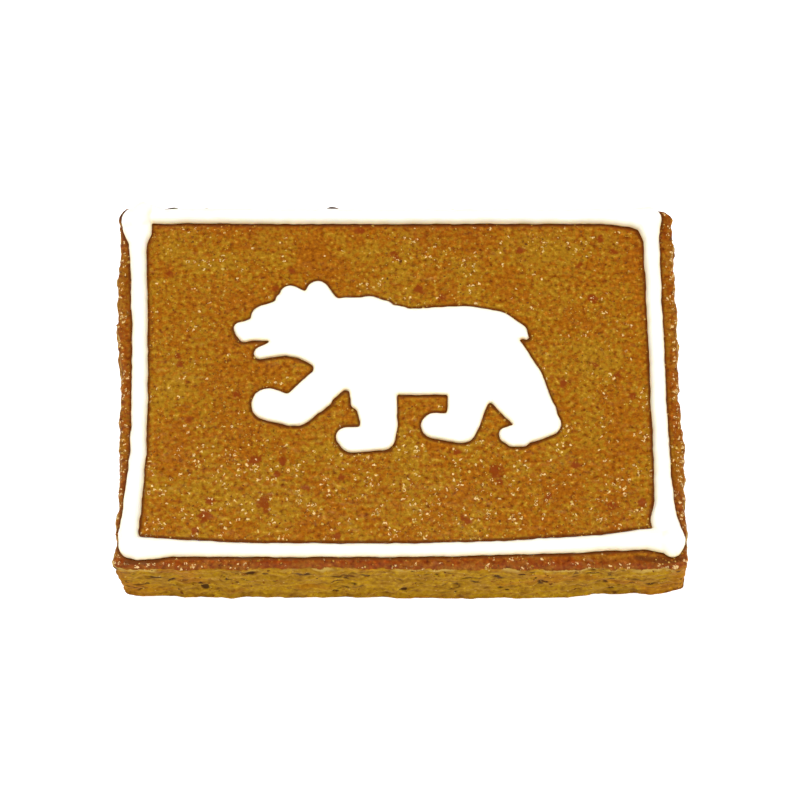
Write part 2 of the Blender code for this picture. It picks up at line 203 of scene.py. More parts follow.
# Tints of the nut mottle and of the crumb's layers, each at its place between 0 and 1
NUT_SPECKS = (
    (0.26, (0.42, 0.26, 0.2)),
    (0.38, (0.78, 0.68, 0.6)),
    (0.48, (1.0, 1.0, 1.0)),
    (0.6, (1.16, 1.22, 1.4)),
    (0.74, (1.75, 2.1, 6.0)),
)
CRUMB_STREAKS = (
    (0.27, (0.36, 0.25, 0.15)),
    (0.36, (0.78, 0.7, 0.55)),
    (0.47, (1.0, 1.0, 1.0)),
    (0.66, (1.2, 1.26, 1.5)),
)
# Colour of the light that the sticky glaze and the oily nuts throw back
GLINT_TINT = (1.0, 0.82, 0.45)
# How strongly glaze and crumb mirror the light, where 0.5 is plain plastic
GLINT_LEVEL = 0.2

# Dark glaze with painted shade in front of the two front dollops: tapered strokes of x, y and half width
SHADED_GLAZE_POOLS = (
    ((45.5, -37.2, 0.15), (50.6, -37.9, 0.3)),
    ((50.6, -37.9, 0.3), (53.6, -37.6, 0.2)),
    ((-51.8, -38.1, 0.35), (-46.0, -37.9, 0.1)),
)

# Icing, in millimetres. The dark seam of glaze and painted contact shadow beside it is this much wider
# towards the back
SEAM_SHADE_LAG = 0.5
# From the icing's own middle to the part's, and how deep its foot reaches into the dough
ICING_SHIFT = (0.0, 0.2, 0.0)
ICING_SINK = 0.9
RIM_HEIGHT = 0.45
BORDER_HEIGHT = 2.0
BORDER_HALF_WIDTH = 1.6
BLOB_RISE = 0.45
DOLLOP_FOOT = 0.5
# Dollops where the back and the left line start and where the right one ends: x, y, half width, height
DOLLOPS = (
    (52.1, -34.3, 2.6, 2.9),
    (-51.0, 38.0, 2.2, 3.3),
    (-52.2, 36.3, 2.95, 3.2),
)
BEAR_HEIGHT = 1.4
BEAR_EDGE = 0.95
# Longest edge of the rough shells, and how often the melted icing is evened out
SHELL_STEP = 0.5
BORDER_SETTLING = 5
BEAR_SETTLING = 14

# Piped border lines, each a run of x, y and half width, placed on the icing's own middle
BORDER_LINES = {
    "back": (
        (-50.0, 38.0, 2.2),
        (-46.8, 37.3, 1.65),
        (-42.0, 37.4, 1.7),
        (0.0, 37.3, 1.7),
        (40.5, 37.4, 1.7),
        (46.0, 37.0, 2.0),
        (49.45, 36.75, 2.9),
    ),
    "right": (
        (49.45, 36.75, 2.9),
        (50.1, 32.0, 1.6),
        (50.4, 10.0, 1.55),
        (50.6, -5.0, 1.6),
        (50.9, -20.0, 1.65),
        (51.0, -26.0, 1.95),
        (50.9, -29.5, 2.6),
        (52.1, -34.0, 2.8),
        (52.4, -35.6, 1.9),
    ),
    "front": (
        (-51.3, -35.5, 2.2),
        (-49.5, -35.75, 2.45),
        (-43.5, -35.6, 1.85),
        (-34.5, -35.9, 1.6),
        (-26.5, -36.1, 1.47),
        (0.5, -36.1, 1.43),
        (19.5, -35.6, 1.47),
        (30.5, -35.1, 1.7),
        (38.5, -34.6, 1.72),
        (47.5, -33.7, 2.2),
        (52.1, -34.0, 2.8),
    ),
    "left": (
        (-52.1, 36.5, 3.0),
        (-51.9, 34.2, 2.85),
        (-51.8, 31.3, 1.75),
        (-50.9, 15.0, 1.6),
        (-50.4, -4.0, 1.6),
        (-50.4, -15.0, 1.6),
        (-51.2, -27.5, 1.8),
        (-51.75, -32.5, 1.95),
        (-51.3, -35.5, 2.2),
    ),
}

# Parts of the bear, each a tapered stroke between two round ends of x, y and radius
BEAR_PARTS = {
    "muzzle": ((-30.1, 11.4, 2.15), (-24.0, 12.4, 3.0)),
    "nose": ((-31.1, 12.0, 1.4), (-28.0, 12.2, 1.5)),
    "upper lip": ((-30.5, 10.0, 1.05), (-29.0, 10.6, 1.3)),
    "brow": ((-26.3, 14.5, 2.7), (-20.5, 15.0, 4.15)),
    "near ear": ((-21.45, 19.35, 2.15), (-19.7, 17.6, 2.9)),
    "ear root": ((-23.15, 18.5, 1.2), (-21.0, 17.5, 2.2)),
    "far ear": ((-16.0, 20.25, 2.4), (-14.9, 17.0, 3.2)),
    "lower jaw": ((-27.05, 6.55, 1.35), (-22.2, 8.15, 2.05)),
    "jaw root": ((-22.2, 8.15, 2.05), (-18.6, 7.9, 2.6)),
    "throat": ((-18.6, 7.9, 2.6), (-14.6, 7.1, 3.95)),
    "cheek": ((-21.0, 11.6, 5.2), (-13.5, 12.0, 6.6)),
    "throat fold": ((-15.7, 4.6, 1.0), (-15.75, 1.4, 1.0)),
    "neck": ((-13.5, 12.0, 6.6), (-6.5, 10.2, 8.8)),
    "chest": ((-9.1, 6.0, 7.7), (-3.5, 7.0, 9.0)),
    "withers": ((-6.0, 16.95, 2.35), (-2.8, 16.1, 2.15)),
    "shoulder": ((-0.6, 15.6, 1.5), (0.7, 15.4, 1.4)),
    "back": ((0.0, 6.8, 9.4), (12.5, 7.2, 9.85)),
    "rump": ((12.5, 7.2, 9.85), (18.3, 10.6, 5.4)),
    "tail": ((19.2, 11.6, 4.15), (23.7, 11.3, 1.6)),
    "tail tip": ((24.3, 11.0, 1.05), (25.0, 10.2, 0.7)),
    "raised forearm": ((-13.35, 0.8, 3.65), (-19.95, -5.85, 3.6)),
    "forearm swell": ((-15.3, -3.1, 2.65), (-16.4, -4.2, 2.6)),
    "raised paw": ((-25.4, -4.75, 3.4), (-21.0, -6.25, 3.15)),
    "foreleg": ((-5.1, 0.0, 4.65), (-5.0, -2.6, 4.65)),
    "foreleg front": ((-8.0, -4.2, 1.55), (-5.5, -3.0, 3.5)),
    "foreshank": ((-4.35, -4.5, 4.05), (-3.8, -8.8, 3.65)),
    "standing heel": ((-3.85, -9.2, 3.65), (-3.05, -12.4, 2.35)),
    "standing paw": ((-4.2, -11.9, 2.8), (-9.0, -12.55, 2.7)),
    "standing toe": ((-10.0, -11.85, 2.2), (-8.5, -12.0, 2.4)),
    "near thigh": ((14.1, -1.0, 4.4), (12.55, -8.5, 3.3)),
    "near paw": ((7.15, -9.45, 2.85), (12.1, -10.1, 3.05)),
    "crotch": ((17.8, -2.95, 1.2), (18.2, -2.8, 1.2)),
    "haunch": ((19.0, 4.7, 6.5), (22.3, -0.2, 6.1)),
    "far thigh": ((22.3, -0.2, 6.05), (26.0, -6.7, 4.5)),
    "far heel": ((26.5, -7.0, 4.35), (28.75, -9.1, 2.55)),
    "far paw": ((25.6, -10.2, 2.75), (28.8, -8.9, 2.75)),
    "far toes": ((22.3, -12.2, 1.75), (24.0, -12.45, 1.5)),
    "far toe": ((21.1, -11.4, 1.65), (25.5, -10.2, 2.3)),
}

# Stage, in millimetres. The floor lies this much over the underside, clear of its plane
FLOOR_RISE = 0.02
# The camera keeps its distance from the second of these places and looks at the first
PICTURE_MIDDLE = (0.25, -3.3, 12.4)
CAMERA_MIDDLE = (0.5, 0.2, 12.4)
# In metres: half the floor's width, and each light's place and width
FLOOR_HALF = 2.0
LIGHTS = {
    "glint": ((-0.2, 0.29, 3.0), 0.4),
    "front": ((0.1, -0.85, 1.15), 0.6),
    "left": ((-0.85, 0.35, 1.0), 0.6),
    "right": ((0.9, 0.1, 0.95), 0.6),
    "under": ((0.0, -0.3, -1.2), 0.8),
}


def length_of(name, description, millimetres, **limits):
    """A length that a user may change."""
    return FloatProperty(
        name=name, description=description, default=millimetres * MM, unit="LENGTH", **limits
    )


def count_of(name, description, number):
    """A number of things that a user may change."""
    return IntProperty(name=name, description=description, default=number, min=0)


def power_of(name, description, watts):
    """A light's power that a user may change."""
    return FloatProperty(name=name, description=description, default=watts, min=0.0, unit="POWER")


def colour_of(name, description, linear):
    """A linear colour that a user may change."""
    return FloatVectorProperty(name=name, description=description, default=linear, subtype="COLOR")


class DoughSettings(bpy.types.PropertyGroup):
    """Sizes and colours of the baked dough."""

    grid_step: length_of("Skin step", "Distance between points of the slab's skin", 0.4, min=0.3 * MM)
    grain_height: length_of("Grain height", "How far the ground nuts stand out under the glaze", 0.075)
    tear_depth: length_of("Tear depth", "How deep the cut side is torn between its flakes", 0.26)
    top_grains: count_of("Grains on top", "Nut grains that show through the glaze", 7000)
    side_grains: count_of("Grains on the sides", "Nut grains that stand out of the cut sides", 2500)
    glaze_colour: colour_of("Glazed dough", "Main colour of the glazed top", (0.258, 0.075, 0.0015))
    golden_colour: colour_of("Golden patches", "Colour of the less browned top", (0.285, 0.135, 0.005))
    crumb_colour: colour_of("Cut crumb", "Main colour of the cut side", (0.345, 0.174, 0.002))
    # Painted shade in pores, cracks, creases and pits
    pore_shade_colour: colour_of("Pores", "Colour inside pores, cracks and creases", (0.04, 0.012, 0.001))


class IcingSettings(bpy.types.PropertyGroup):
    """Sizes and colour of the piped icing."""

    border_step: length_of("Border step", "Size of the smallest facet of the piped border", 0.22)
    bear_step: length_of("Bear step", "Size of the smallest facet of the flooded bear", 0.24)
    icing_colour: colour_of("Icing", "Colour of the dried sugar icing", (0.97, 0.94, 0.8))


class StageSettings(bpy.types.PropertyGroup):
    """The view of the lebkuchen and the light on it."""

    elevation: FloatProperty(
        name="Elevation",
        description="How high the camera looks down from",
        default=math.radians(62.5),
        unit="ROTATION",
    )
    distance: length_of("Camera distance", "From the camera to the middle of the slab's top", 839.0)
    lens: FloatProperty(
        name="Lens",
        description="Focal length in millimetres on a 36 mm sensor",
        default=193.5,
    )
    glint_power: power_of("Glint light", "The high light that makes the glaze glint", 30.0)
    front_power: power_of("Front light", "The large light that fills the front side", 11.0)
    left_power: power_of("Left light", "The large light behind the left side", 7.5)
    right_power: power_of("Right light", "The large light at the right side", 7.0)
    under_power: power_of("Under light", "The light below the floor, for the underside", 14.0)
    room_light: FloatProperty(
        name="Room light",
        description="Strength of the even light from all round",
        default=0.1,
    )
    floor_glow: FloatProperty(
        name="Floor glow",
        description="How far the floor outshines its light, to keep its shadows pale",
        default=0.55,
    )
    floor_colour: colour_of("Floor", "Colour of the plain pale floor", (0.93, 0.93, 0.93))


def noise_at(places, size, shift=0.0):
    """Smooth noise, about -1 to 1, in lumps of a size. Each shift gives another stretch of it."""
    moved = np.asarray(places) / size + (shift, 0.7 * shift, -0.4 * shift)
    return np.array([noise.noise(place) for place in moved.tolist()])


def pebbles_at(places, size, shift=0.0):
    """Packed round grains of about the given size: 1 on top of a grain and 0 between grains."""
    moved = np.asarray(places) / size + (shift, 0.7 * shift, -0.4 * shift)
    nearest = np.array([noise.voronoi(place)[0][0] for place in moved.tolist()])
    return np.clip(1.0 - (nearest / 0.75) ** 2, 0.0, 1.0)


def ramp_up(values, low, high):
    """0 at low, 1 at high and smooth between."""
    share = np.clip((np.asarray(values) - low) / (high - low), 0.0, 1.0)
    return share * share * (3.0 - 2.0 * share)


def smoothed(rows, times):
    """Rows of values round a closed loop, evened out along the loop and between the rows."""
    for _ in range(times):
        rows = 0.5 * rows + 0.25 * (np.roll(rows, 1, axis=1) + np.roll(rows, -1, axis=1))
        rows[1:-1] = 0.5 * rows[1:-1] + 0.25 * (rows[:-2] + rows[2:])
    return rows


def top_swell(x, y):
    """How far the baked top rises above its mean level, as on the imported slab."""
    places = np.column_stack([x, y, np.zeros(len(x))])
    swell = np.array([noise.noise(p) for p in (places / 14.0 + (0, 0, 3.0)).tolist()])
    dent = np.array([noise.noise(p) for p in (places / 6.0 + (0, 0, 9.0)).tolist()])
    return 0.12 * swell + 0.04 * dent


def stroke_distances(points, strokes):
    """Signed distance from each point to each tapered stroke with round ends."""
    start, end = strokes[:, 0], strokes[:, 1]
    run = end[:, :2] - start[:, :2]
    length = np.maximum(np.linalg.norm(run, axis=1), 1e-6)
    unit = run / length[:, None]
    offset = points[:, None, :] - start[:, :2]
    along = (offset * unit).sum(axis=2)
    aside = np.abs(offset[..., 0] * unit[:, 1] - offset[..., 1] * unit[:, 0])
    taper = (start[:, 2] - end[:, 2]) / length
    slant = np.sqrt(1.0 - taper**2)
    reach = along * slant - aside * taper
    at_start = np.hypot(along, aside) - start[:, 2]
    at_end = np.hypot(along - length, aside) - end[:, 2]
    beside = aside * slant + along * taper - start[:, 2]
    return np.where(reach < 0.0, at_start, np.where(reach > length * slant, at_end, beside))


def border_strokes():
    """The tapered strokes of all four piped lines."""
    strokes = [pair for line in BORDER_LINES.values() for pair in zip(line, line[1:])]
    return np.array(strokes) + ICING_SHIFT


def bear_strokes():
    """The tapered strokes that make up the bear."""
    return np.array(list(BEAR_PARTS.values())) + ICING_SHIFT


def icing_distance(points):
    """Distance from each point to the nearest icing, below zero under it."""
    return np.minimum(
        stroke_distances(points, border_strokes()).min(axis=1),
        stroke_distances(points, bear_strokes()).min(axis=1),
    )


def add_piece(name, points, faces, finish, marks=None):
    """An object made from points in millimetres, with the named value of each point kept on it."""
    mesh = bpy.data.meshes.new(name)
    mesh.from_pydata((np.asarray(points) * MM).tolist(), [], faces)
    mesh.validate()
    mesh.shade_smooth()
    mesh.materials.append(finish)
    for mark, values in (marks or {}).items():
        kept = mesh.attributes.new(mark, "FLOAT", "POINT")
        kept.data.foreach_set("value", np.asarray(values, np.float32))
    piece = bpy.data.objects.new(name, mesh)
    bpy.context.scene.collection.objects.link(piece)
    return piece


def ray_tree(mesh):
    """A tree for casting rays at a mesh, in millimetres."""
    points = [vertex.co / MM for vertex in mesh.vertices]
    return BVHTree.FromPolygons(points, [tuple(face.vertices) for face in mesh.polygons])


def slab_box():
    """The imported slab's lowest and highest corners, in millimetres."""
    return (np.array(corner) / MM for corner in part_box("baked_slab"))


def rim_rays(middle, half, counts):
    """Places inside the slab's edge and the ways out of it, from the front left corner round."""
    places = []
    directions = []
    quarter = math.pi / 4 * GUIDE_RADIUS
    for side, (along, out) in enumerate(SIDES):
        along, out = np.array(along, float), np.array(out, float)
        reach = half[side % 2] - GUIDE_RADIUS
        depth = half[1 - side % 2] - GUIDE_RADIUS
        whole = 2 * reach + 2 * quarter
        for k in range(counts[side % 2]):
            run = k / counts[side % 2] * whole - quarter
            turn = (min(run, 0.0) + max(run - 2 * reach, 0.0)) / GUIDE_RADIUS
            slide = min(max(run, 0.0), 2 * reach) - reach
            places.append(middle + along * slide + out * depth)
            directions.append(out * math.cos(turn) + along * math.sin(turn))
    return np.array(places), np.array(directions)


def side_reach(places, directions, heights):
    """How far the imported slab's side lies along each direction, a row for each height."""
    tree = ray_tree(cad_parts["baked_slab"].data)
    rows = []
    for height in heights:
        row = []
        for (x, y), (dx, dy) in zip(places, directions):
            hit = tree.ray_cast(Vector((x, y, max(height, 0.05))), Vector((dx, dy, 0.0)))
            if hit[0] is None:
                raise RuntimeError("a ray misses the slab's side")
            row.append(hit[3])
        rows.append(row)
    return smoothed(np.array(rows), 1)


def torn_crumb(places, tear_depth):
    """Relief of the cut side, out of the slab, and how much painted shade darkens its cracks and pores."""
    flakes = noise_at(places, (3.2, 3.2, 1.1), 3.1) + 0.6 * noise_at(places, (1.5, 1.5, 0.7), 8.7)
    grain = pebbles_at(places, (1.3, 1.3, 1.0), 4.4) - 0.5
    seam = np.abs(noise_at(places, (5.5, 5.5, 1.3), 12.3))
    torn = ramp_up(noise_at(places, (7.0, 7.0, 4.0), 21.0), 0.05, 0.35)
    crack = (1.0 - ramp_up(seam, 0.02, 0.11)) * torn
    open_pore = ramp_up(pebbles_at(places, (3.4, 3.4, 1.9), 33.0), 0.80, 0.97)
    chosen = ramp_up(noise_at(places, (2.2, 2.2, 1.6), 17.0), 0.1, 0.4)
    hollow = np.maximum(0.6 * crack, open_pore * chosen) * ramp_up(places[:, 2], 0.8, 2.2)
    depth = tear_depth * (0.5 * crack + 0.8 * open_pore * chosen)
    front = ramp_up(-places[:, 1], 33.0, 36.0)
    ragged = 0.5 * noise_at(places, 0.8, 63.0)
    for x, height, half_length, half_height, dark in FRONT_PORES:
        away = ((places[:, 0] - x) / half_length) ** 2 + ((places[:, 2] - height) / half_height) ** 2
        dip = np.exp(-(np.clip(away + ragged, 0.0, None) ** 1.5)) * front
        hollow = np.maximum(hollow, dark * dip)
        depth = np.maximum(depth, tear_depth * dark * dip)
    return tear_depth * (flakes + 0.7 * grain) - depth, hollow


def segment_distance(points, start, end):
    """Distance from each point to the line between two places."""
    start, end = np.array(start), np.array(end)
    run = end - start
    share = np.clip(((points - start) @ run) / (run @ run), 0.0, 1.0)
    return np.linalg.norm(points - start - share[:, None] * run, axis=1)


def glazed_relief(places, grain_height):
    """Relief of the grainy top, and how much painted shade darkens its pits and creases."""
    flat = places * (1.0, 1.0, 0.0)
    lumps = 0.5 * noise_at(flat, 4.5, 2.0) + 0.4 * noise_at(flat, 2.1, 5.0)
    grains = pebbles_at(flat, 1.25, 9.0) + 0.55 * pebbles_at(flat, 0.85, 14.0) - 0.75
    rough = 0.45 + 0.55 * ramp_up(noise_at(flat, 7.0, 31.0), -0.35, 0.25)
    pit = ramp_up(pebbles_at(flat, 1.9, 23.0), 0.88, 0.99) * ramp_up(noise_at(flat, 2.9, 27.0), 0.1, 0.4)
    relief = grain_height * (lumps + grains * rough) - 1.5 * grain_height * pit
    hollow = 0.4 * pit
    wander = 0.5 * noise_at(flat, 1.6, 41.0)
    broken = ramp_up(noise_at(flat, 2.4, 47.0), -0.45, 0.15)
    for start, end, half_width, depth in CREASES:
        away = (segment_distance(flat[:, :2], start, end) + wander) / half_width
        dip = np.exp(-(away**2)) * broken
        relief = relief - depth * dip
        hollow = np.maximum(hollow, 0.27 * dip)
    return relief, hollow


def browning_at(points):
    """How much redder each place is: baked redder along the back and at the front right, and redder close
    by the border.
    """
    x, y = points[:, 0], points[:, 1]
    back = ramp_up(y, 24.0, 37.0)
    corner = ramp_up(x, 12.0, 44.0) * ramp_up(-y, 8.0, 28.0)
    from_border = stroke_distances(points[:, :2], border_strokes()).min(axis=1)
    edge = np.exp(-np.clip(from_border, 0.0, None) / 0.7)
    cloud = noise_at(points * (1.0, 1.0, 0.0), 7.0, 81.0)
    lip = 0.6 * ramp_up(-y, 36.8, 38.2)
    return np.clip(0.35 * back + 0.3 * corner + 0.75 * edge + lip + 0.35 * cloud, 0.0, 1.0)


def foot_browning(points):
    """How brown the tray left the crumb of the cut side: low down and at its two ends."""
    far = np.abs(points[:, 0])
    low_down = ramp_up(-points[:, 2], -8.0, -3.0)
    ends = np.maximum(ramp_up(far, 50.0, 54.0), ramp_up(far, 42.0, 52.0) * low_down)
    cloud = noise_at(points, (9.0, 9.0, 3.0), 87.0)
    return np.clip(0.9 * ends + 0.8 * ramp_up(cloud, 0.1, 0.5), 0.0, 1.0)


def stickiness_at(points, above):
    """How much more glaze lies on each place, and so how many beads with a painted glint: towards the
    front, and along the edge at both ends.
    """
    x, y = points[:, 0], points[:, 1]
    corner = ramp_up(-x - y, 72.0, 84.0)
    ends = np.maximum(ramp_up(x, 48.0, 53.0), 0.6 * ramp_up(-x, 48.0, 53.0))
    edge = ramp_up(-above, -3.2, -1.5) * np.maximum(corner, ends)
    return 0.1 * ramp_up(-y, 2.0, 22.0) + 0.37 * edge


def spot_depth(points):
    """How far inside a red-brown spot each point lies, in shares of its radius."""
    inside = [1.0 - np.hypot(points[:, 0] - x, points[:, 1] - y) / radius for x, y, radius in SKIN_SPOTS]
    return np.max(inside, axis=0)


def coons_patch(loop, counts):
    """A grid of places between the four sides of a closed loop that starts at its front left corner."""
    long, wide = counts
    closed = np.vstack([loop, loop[:1]])
    front = closed[: long + 1]
    right = closed[long : long + wide + 1]
    back = closed[long + wide : 2 * long + wide + 1][::-1]
    left = closed[2 * long + wide :][::-1]
    u = np.linspace(0.0, 1.0, long + 1)[:, None, None]
    v = np.linspace(0.0, 1.0, wide + 1)[None, :, None]
    between = (1 - v) * front[:, None] + v * back[:, None] + (1 - u) * left[None] + u * right[None]
    corners = (
        (1 - u) * (1 - v) * front[0]
        + u * (1 - v) * front[-1]
        + (1 - u) * v * back[0]
        + u * v * back[-1]
    )
    return between - corners


def patch_numbers(counts, first_of_loop, first_inside):
    """The point number of each place of the patch: its rim lies in the loop, the rest inside."""
    long, wide = counts
    around = 2 * (long + wide)
    numbers = np.zeros((long + 1, wide + 1), int)
    numbers[:, 0] = np.arange(long + 1)
    numbers[long, :] = long + np.arange(wide + 1)
    numbers[:, wide] = long + wide + long - np.arange(long + 1)
    numbers[0, :] = (2 * long + wide + wide - np.arange(wide + 1)) % around
    numbers += first_of_loop
    inside = first_inside + np.arange((long - 1) * (wide - 1))
    numbers[1:long, 1:wide] = inside.reshape(long - 1, wide - 1)
    return numbers


def quads_between(numbers, closed):
    """Quads between neighbouring rows of point numbers, facing left of the rows' own direction."""
    ahead = np.roll(numbers, -1, axis=1)
    last = numbers.shape[1] if closed else numbers.shape[1] - 1
    corners = [numbers[:-1, :last], ahead[:-1, :last], ahead[1:, :last], numbers[1:, :last]]
    return np.stack(corners, axis=-1).reshape(-1, 4).tolist()


def slab_sides(middle, half, counts):
    """Rays out of the slab's edge, and the height and reach of each row of points up its sides."""
    places, directions = rim_rays(middle, half, counts)
    heights = np.linspace(0.0, SIDE_TOP, SIDE_ROWS + 1)
    reach = side_reach(places, directions, heights)
    drawn_in, brow_heights = np.array(BROW_ROWS).T
    reach = np.vstack([reach, reach[-1] - drawn_in[:, None]])
    return places, directions, np.concatenate([heights, brow_heights]), reach


def roughened(side, brow_share, tear_depth):
    """How far each point of the sides moves out, and how much painted shade darkens it."""
    torn, hollow = torn_crumb(side, tear_depth)
    hollow = hollow * (1.0 - brow_share)
    foot_share = ramp_up(side[:, 2], 0.0, 0.5)
    nibble = 0.3 * noise_at(side, (2.2, 2.2, 5.0), 51.0) + 0.16 * noise_at(side, (1.1, 1.1, 2.5), 57.0)
    out = (torn * (1.0 - brow_share) + nibble) * (0.35 + 0.65 * foot_share)
    for x, y, height, along, upwards, stand_out, dark in EDGE_BITS:
        bit = np.exp(-(((side - (x, y, height)) / (along, along, upwards)) ** 2).sum(axis=1))
        out += stand_out * bit
        hollow = np.maximum(hollow, dark * bit)
    return out, hollow


def run_above_cut(heights, counts, step):
    """How far each point of the skin lies above the cut line, along the skin."""
    brow = len(BROW_ROWS)
    drawn_in = np.diff([inset for inset, _ in BROW_ROWS], prepend=0.0)
    risen = np.diff(heights[-brow:], prepend=SIDE_TOP)
    edge_run = np.cumsum(np.hypot(drawn_in, risen))
    above = np.concatenate([heights[:-brow] - CUT_LINE, SIDE_TOP - CUT_LINE + edge_run])
    long, wide = counts
    u, v = np.meshgrid(np.arange(long + 1) * step, np.arange(wide + 1) * step, indexing="ij")
    inland = np.minimum(np.minimum(u, u[-1] - u), np.minimum(v, v[:, -1:] - v))
    inland = inland[1:-1, 1:-1].reshape(-1) + above[-1]
    return np.concatenate([np.repeat(above, 2 * (long + wide)), inland])


def sole_rings(outer, middle, rim_numbers, first_number):
    """The points and faces of the flat underside, in rings inside the slab's foot."""
    rings = [outer] + [middle + share * (outer - middle) for share in SOLE_SHARES]
    around = len(outer)
    faces = []
    wider = rim_numbers
    for k in range(len(rings)):
        deeper = first_number + k * around + np.arange(around)
        faces += quads_between(np.array([deeper, wider]), True)
        wider = deeper
    faces.append(wider[::-1].tolist())
    flat = np.vstack(rings)
    return np.column_stack([flat, np.zeros(len(flat))]), faces


def bake_slab(dough):
    """The points, faces and marks of the slab's skin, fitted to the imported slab."""
    low, high = slab_box()
    middle = ((low + high) / 2)[:2]
    half = ((high - low) / 2)[:2]
    step = dough.grid_step / MM
    counts = [round(2 * extent / step) for extent in half]
    places, directions, heights, reach = slab_sides(middle, half, counts)
    rows, around = reach.shape
    flat = places + reach[..., None] * directions
    tall = np.repeat(heights[:, None], around, axis=1)
    side = np.concatenate([flat, tall[..., None]], axis=2).reshape(-1, 3)
    brow_share = ramp_up(side[:, 2], CUT_LINE - 0.5, SLAB_TOP)
    out, side_hollow_shade = roughened(side, brow_share, dough.tear_depth / MM)
    side[:, :2] += out[:, None] * np.tile(directions, (rows, 1))
    inner = coons_patch(side[-around:, :2], counts)[1:-1, 1:-1].reshape(-1, 2)
    skin = np.vstack([side, np.column_stack([inner, np.full(len(inner), SLAB_TOP)])])
    relief, top_hollow_shade = glazed_relief(skin, dough.grain_height / MM)
    top_share = np.concatenate([brow_share, np.ones(len(inner))])
    near_icing = icing_distance(skin[:, :2])
    settled = ramp_up(near_icing, -1.2, 0.3)
    skin[:, 2] += top_share * (top_swell(skin[:, 0], skin[:, 1]) + relief * settled)
    hollow = np.concatenate([side_hollow_shade, np.zeros(len(inner))])
    hollow = np.maximum(hollow, top_hollow_shade * top_share * settled)
    numbers = np.arange(rows * around).reshape(rows, around)
    faces = quads_between(numbers, True)
    faces += quads_between(patch_numbers(counts, (rows - 1) * around, rows * around).T, False)
    foot = reach[0] + out[:around] - SOLE_INSET
    sole, sole_faces = sole_rings(places + foot[:, None] * directions, middle, numbers[0], len(skin))
    behind_icing = icing_distance(skin[:, :2] - (0.0, SEAM_SHADE_LAG))
    from_shaded_pool = stroke_distances(skin[:, :2], np.array(SHADED_GLAZE_POOLS)).min(axis=1)
    above = run_above_cut(heights, counts, step)
    browning = top_share * browning_at(skin) + (1.0 - top_share) * foot_browning(skin)
    marks = {
        "above_cut": (above, -SLAB_TOP),
        "from_icing": (np.minimum(np.minimum(near_icing, behind_icing), from_shaded_pool), FAR_OFF),
        "hollow": (hollow, 0.0),
        "skin_spot": (spot_depth(skin[:, :2]), -FAR_OFF),
        "browning": (browning, SOLE_BROWNING),
        "stickiness": (stickiness_at(skin, above), 0.0),
    }
    for mark, (on_skin, on_sole) in marks.items():
        marks[mark] = np.concatenate([on_skin, np.full(len(sole), on_sole)])
    return np.vstack([skin, sole]), faces + sole_faces, marks


def tapered_outline(start, end, inset, step):
    """The outline round a tapered stroke, drawn in by an inset, counterclockwise."""
    run = end[:2] - start[:2]
    length = np.linalg.norm(run)
    heading = math.atan2(run[1], run[0])
    opening = math.acos((start[2] - end[2]) / length)
    widest = max(start[2], end[2])
    found = []
    for place, first, turn in ((end, -opening, 2 * opening), (start, opening, 2 * (math.pi - opening))):
        radius = max(place[2] - inset, 0.02)
        count = max(6, math.ceil(turn * widest / step))
        angles = heading + first + turn * np.arange(count + 1) / count
        found.append(place[:2] + radius * np.column_stack([np.cos(angles), np.sin(angles)]))
    return np.vstack(found)


def icing_shell(start, end, profile, step):
    """Points and faces of one closed stroke of icing. The profile's rows are insets and heights."""
    rings = []
    for inset, height in profile:
        ring = tapered_outline(start, end, inset, step)
        rings.append(np.column_stack([ring, np.full(len(ring), height)]))
    numbers = np.arange(len(profile) * len(rings[0])).reshape(len(profile), -1)
    faces = quads_between(numbers, True)
    faces.append(numbers[0][::-1].tolist())
    faces.append(numbers[-1].tolist())
    return np.vstack(rings), faces


def below_rim():
    """The rows of a stroke's foot: it sinks into the dough and bulges a little over it."""
    return [(0.45, -ICING_SINK), (0.3, 0.0), (0.09, 0.2), (0.0, RIM_HEIGHT)]


def border_profile(radius):
    """Insets and heights over a piped line of the given half width."""
    rows = below_rim()
    for depth in (0.08, 0.2, 0.36, 0.56, 0.8, 1.08, 1.4, 2.0, 2.6):
        share = min(depth / BORDER_HALF_WIDTH, 1.0)
        height = BORDER_HEIGHT * math.sqrt(1.0 - (1.0 - share) ** 2)
        height += BLOB_RISE * max(depth - BORDER_HALF_WIDTH, 0.0)
        if depth < radius and height > RIM_HEIGHT:
            rows.append((depth, height))
    return rows


def bear_profile(radius):
    """Insets and heights over a flooded stroke: a rounded edge and a level top."""
    rows = below_rim()
    for share in (0.03, 0.1, 0.2, 0.34, 0.52, 0.75, 1.0):
        if share * BEAR_EDGE < radius:
            rise = math.sqrt(1.0 - (1.0 - share) ** 2)
            rows.append((share * BEAR_EDGE, RIM_HEIGHT + (BEAR_HEIGHT - RIM_HEIGHT) * rise))
    return rows


def dollop(x, y, half_width, height):
    """The closed dollop that stands at an end of a piped line: a stroke so short that it is round."""
    profile = [(0.45, -ICING_SINK), (0.1, 0.0), (0.0, DOLLOP_FOOT)]
    for share in (0.25, 0.5, 0.72, 0.88, 0.97, 1.0):
        inset = half_width * (1.0 - math.sqrt(1.0 - share**2))
        profile.append((inset, DOLLOP_FOOT + (height - DOLLOP_FOOT) * share))
    place = np.array((x, y, half_width)) + ICING_SHIFT
    return icing_shell(place, place + (0.05, 0.0, 0.0), profile, SHELL_STEP)


def stroke_shells(strokes, profile):
    """The closed shell of each stroke."""
    return [icing_shell(start, end, profile(min(start[2], end[2])), SHELL_STEP) for start, end in strokes]


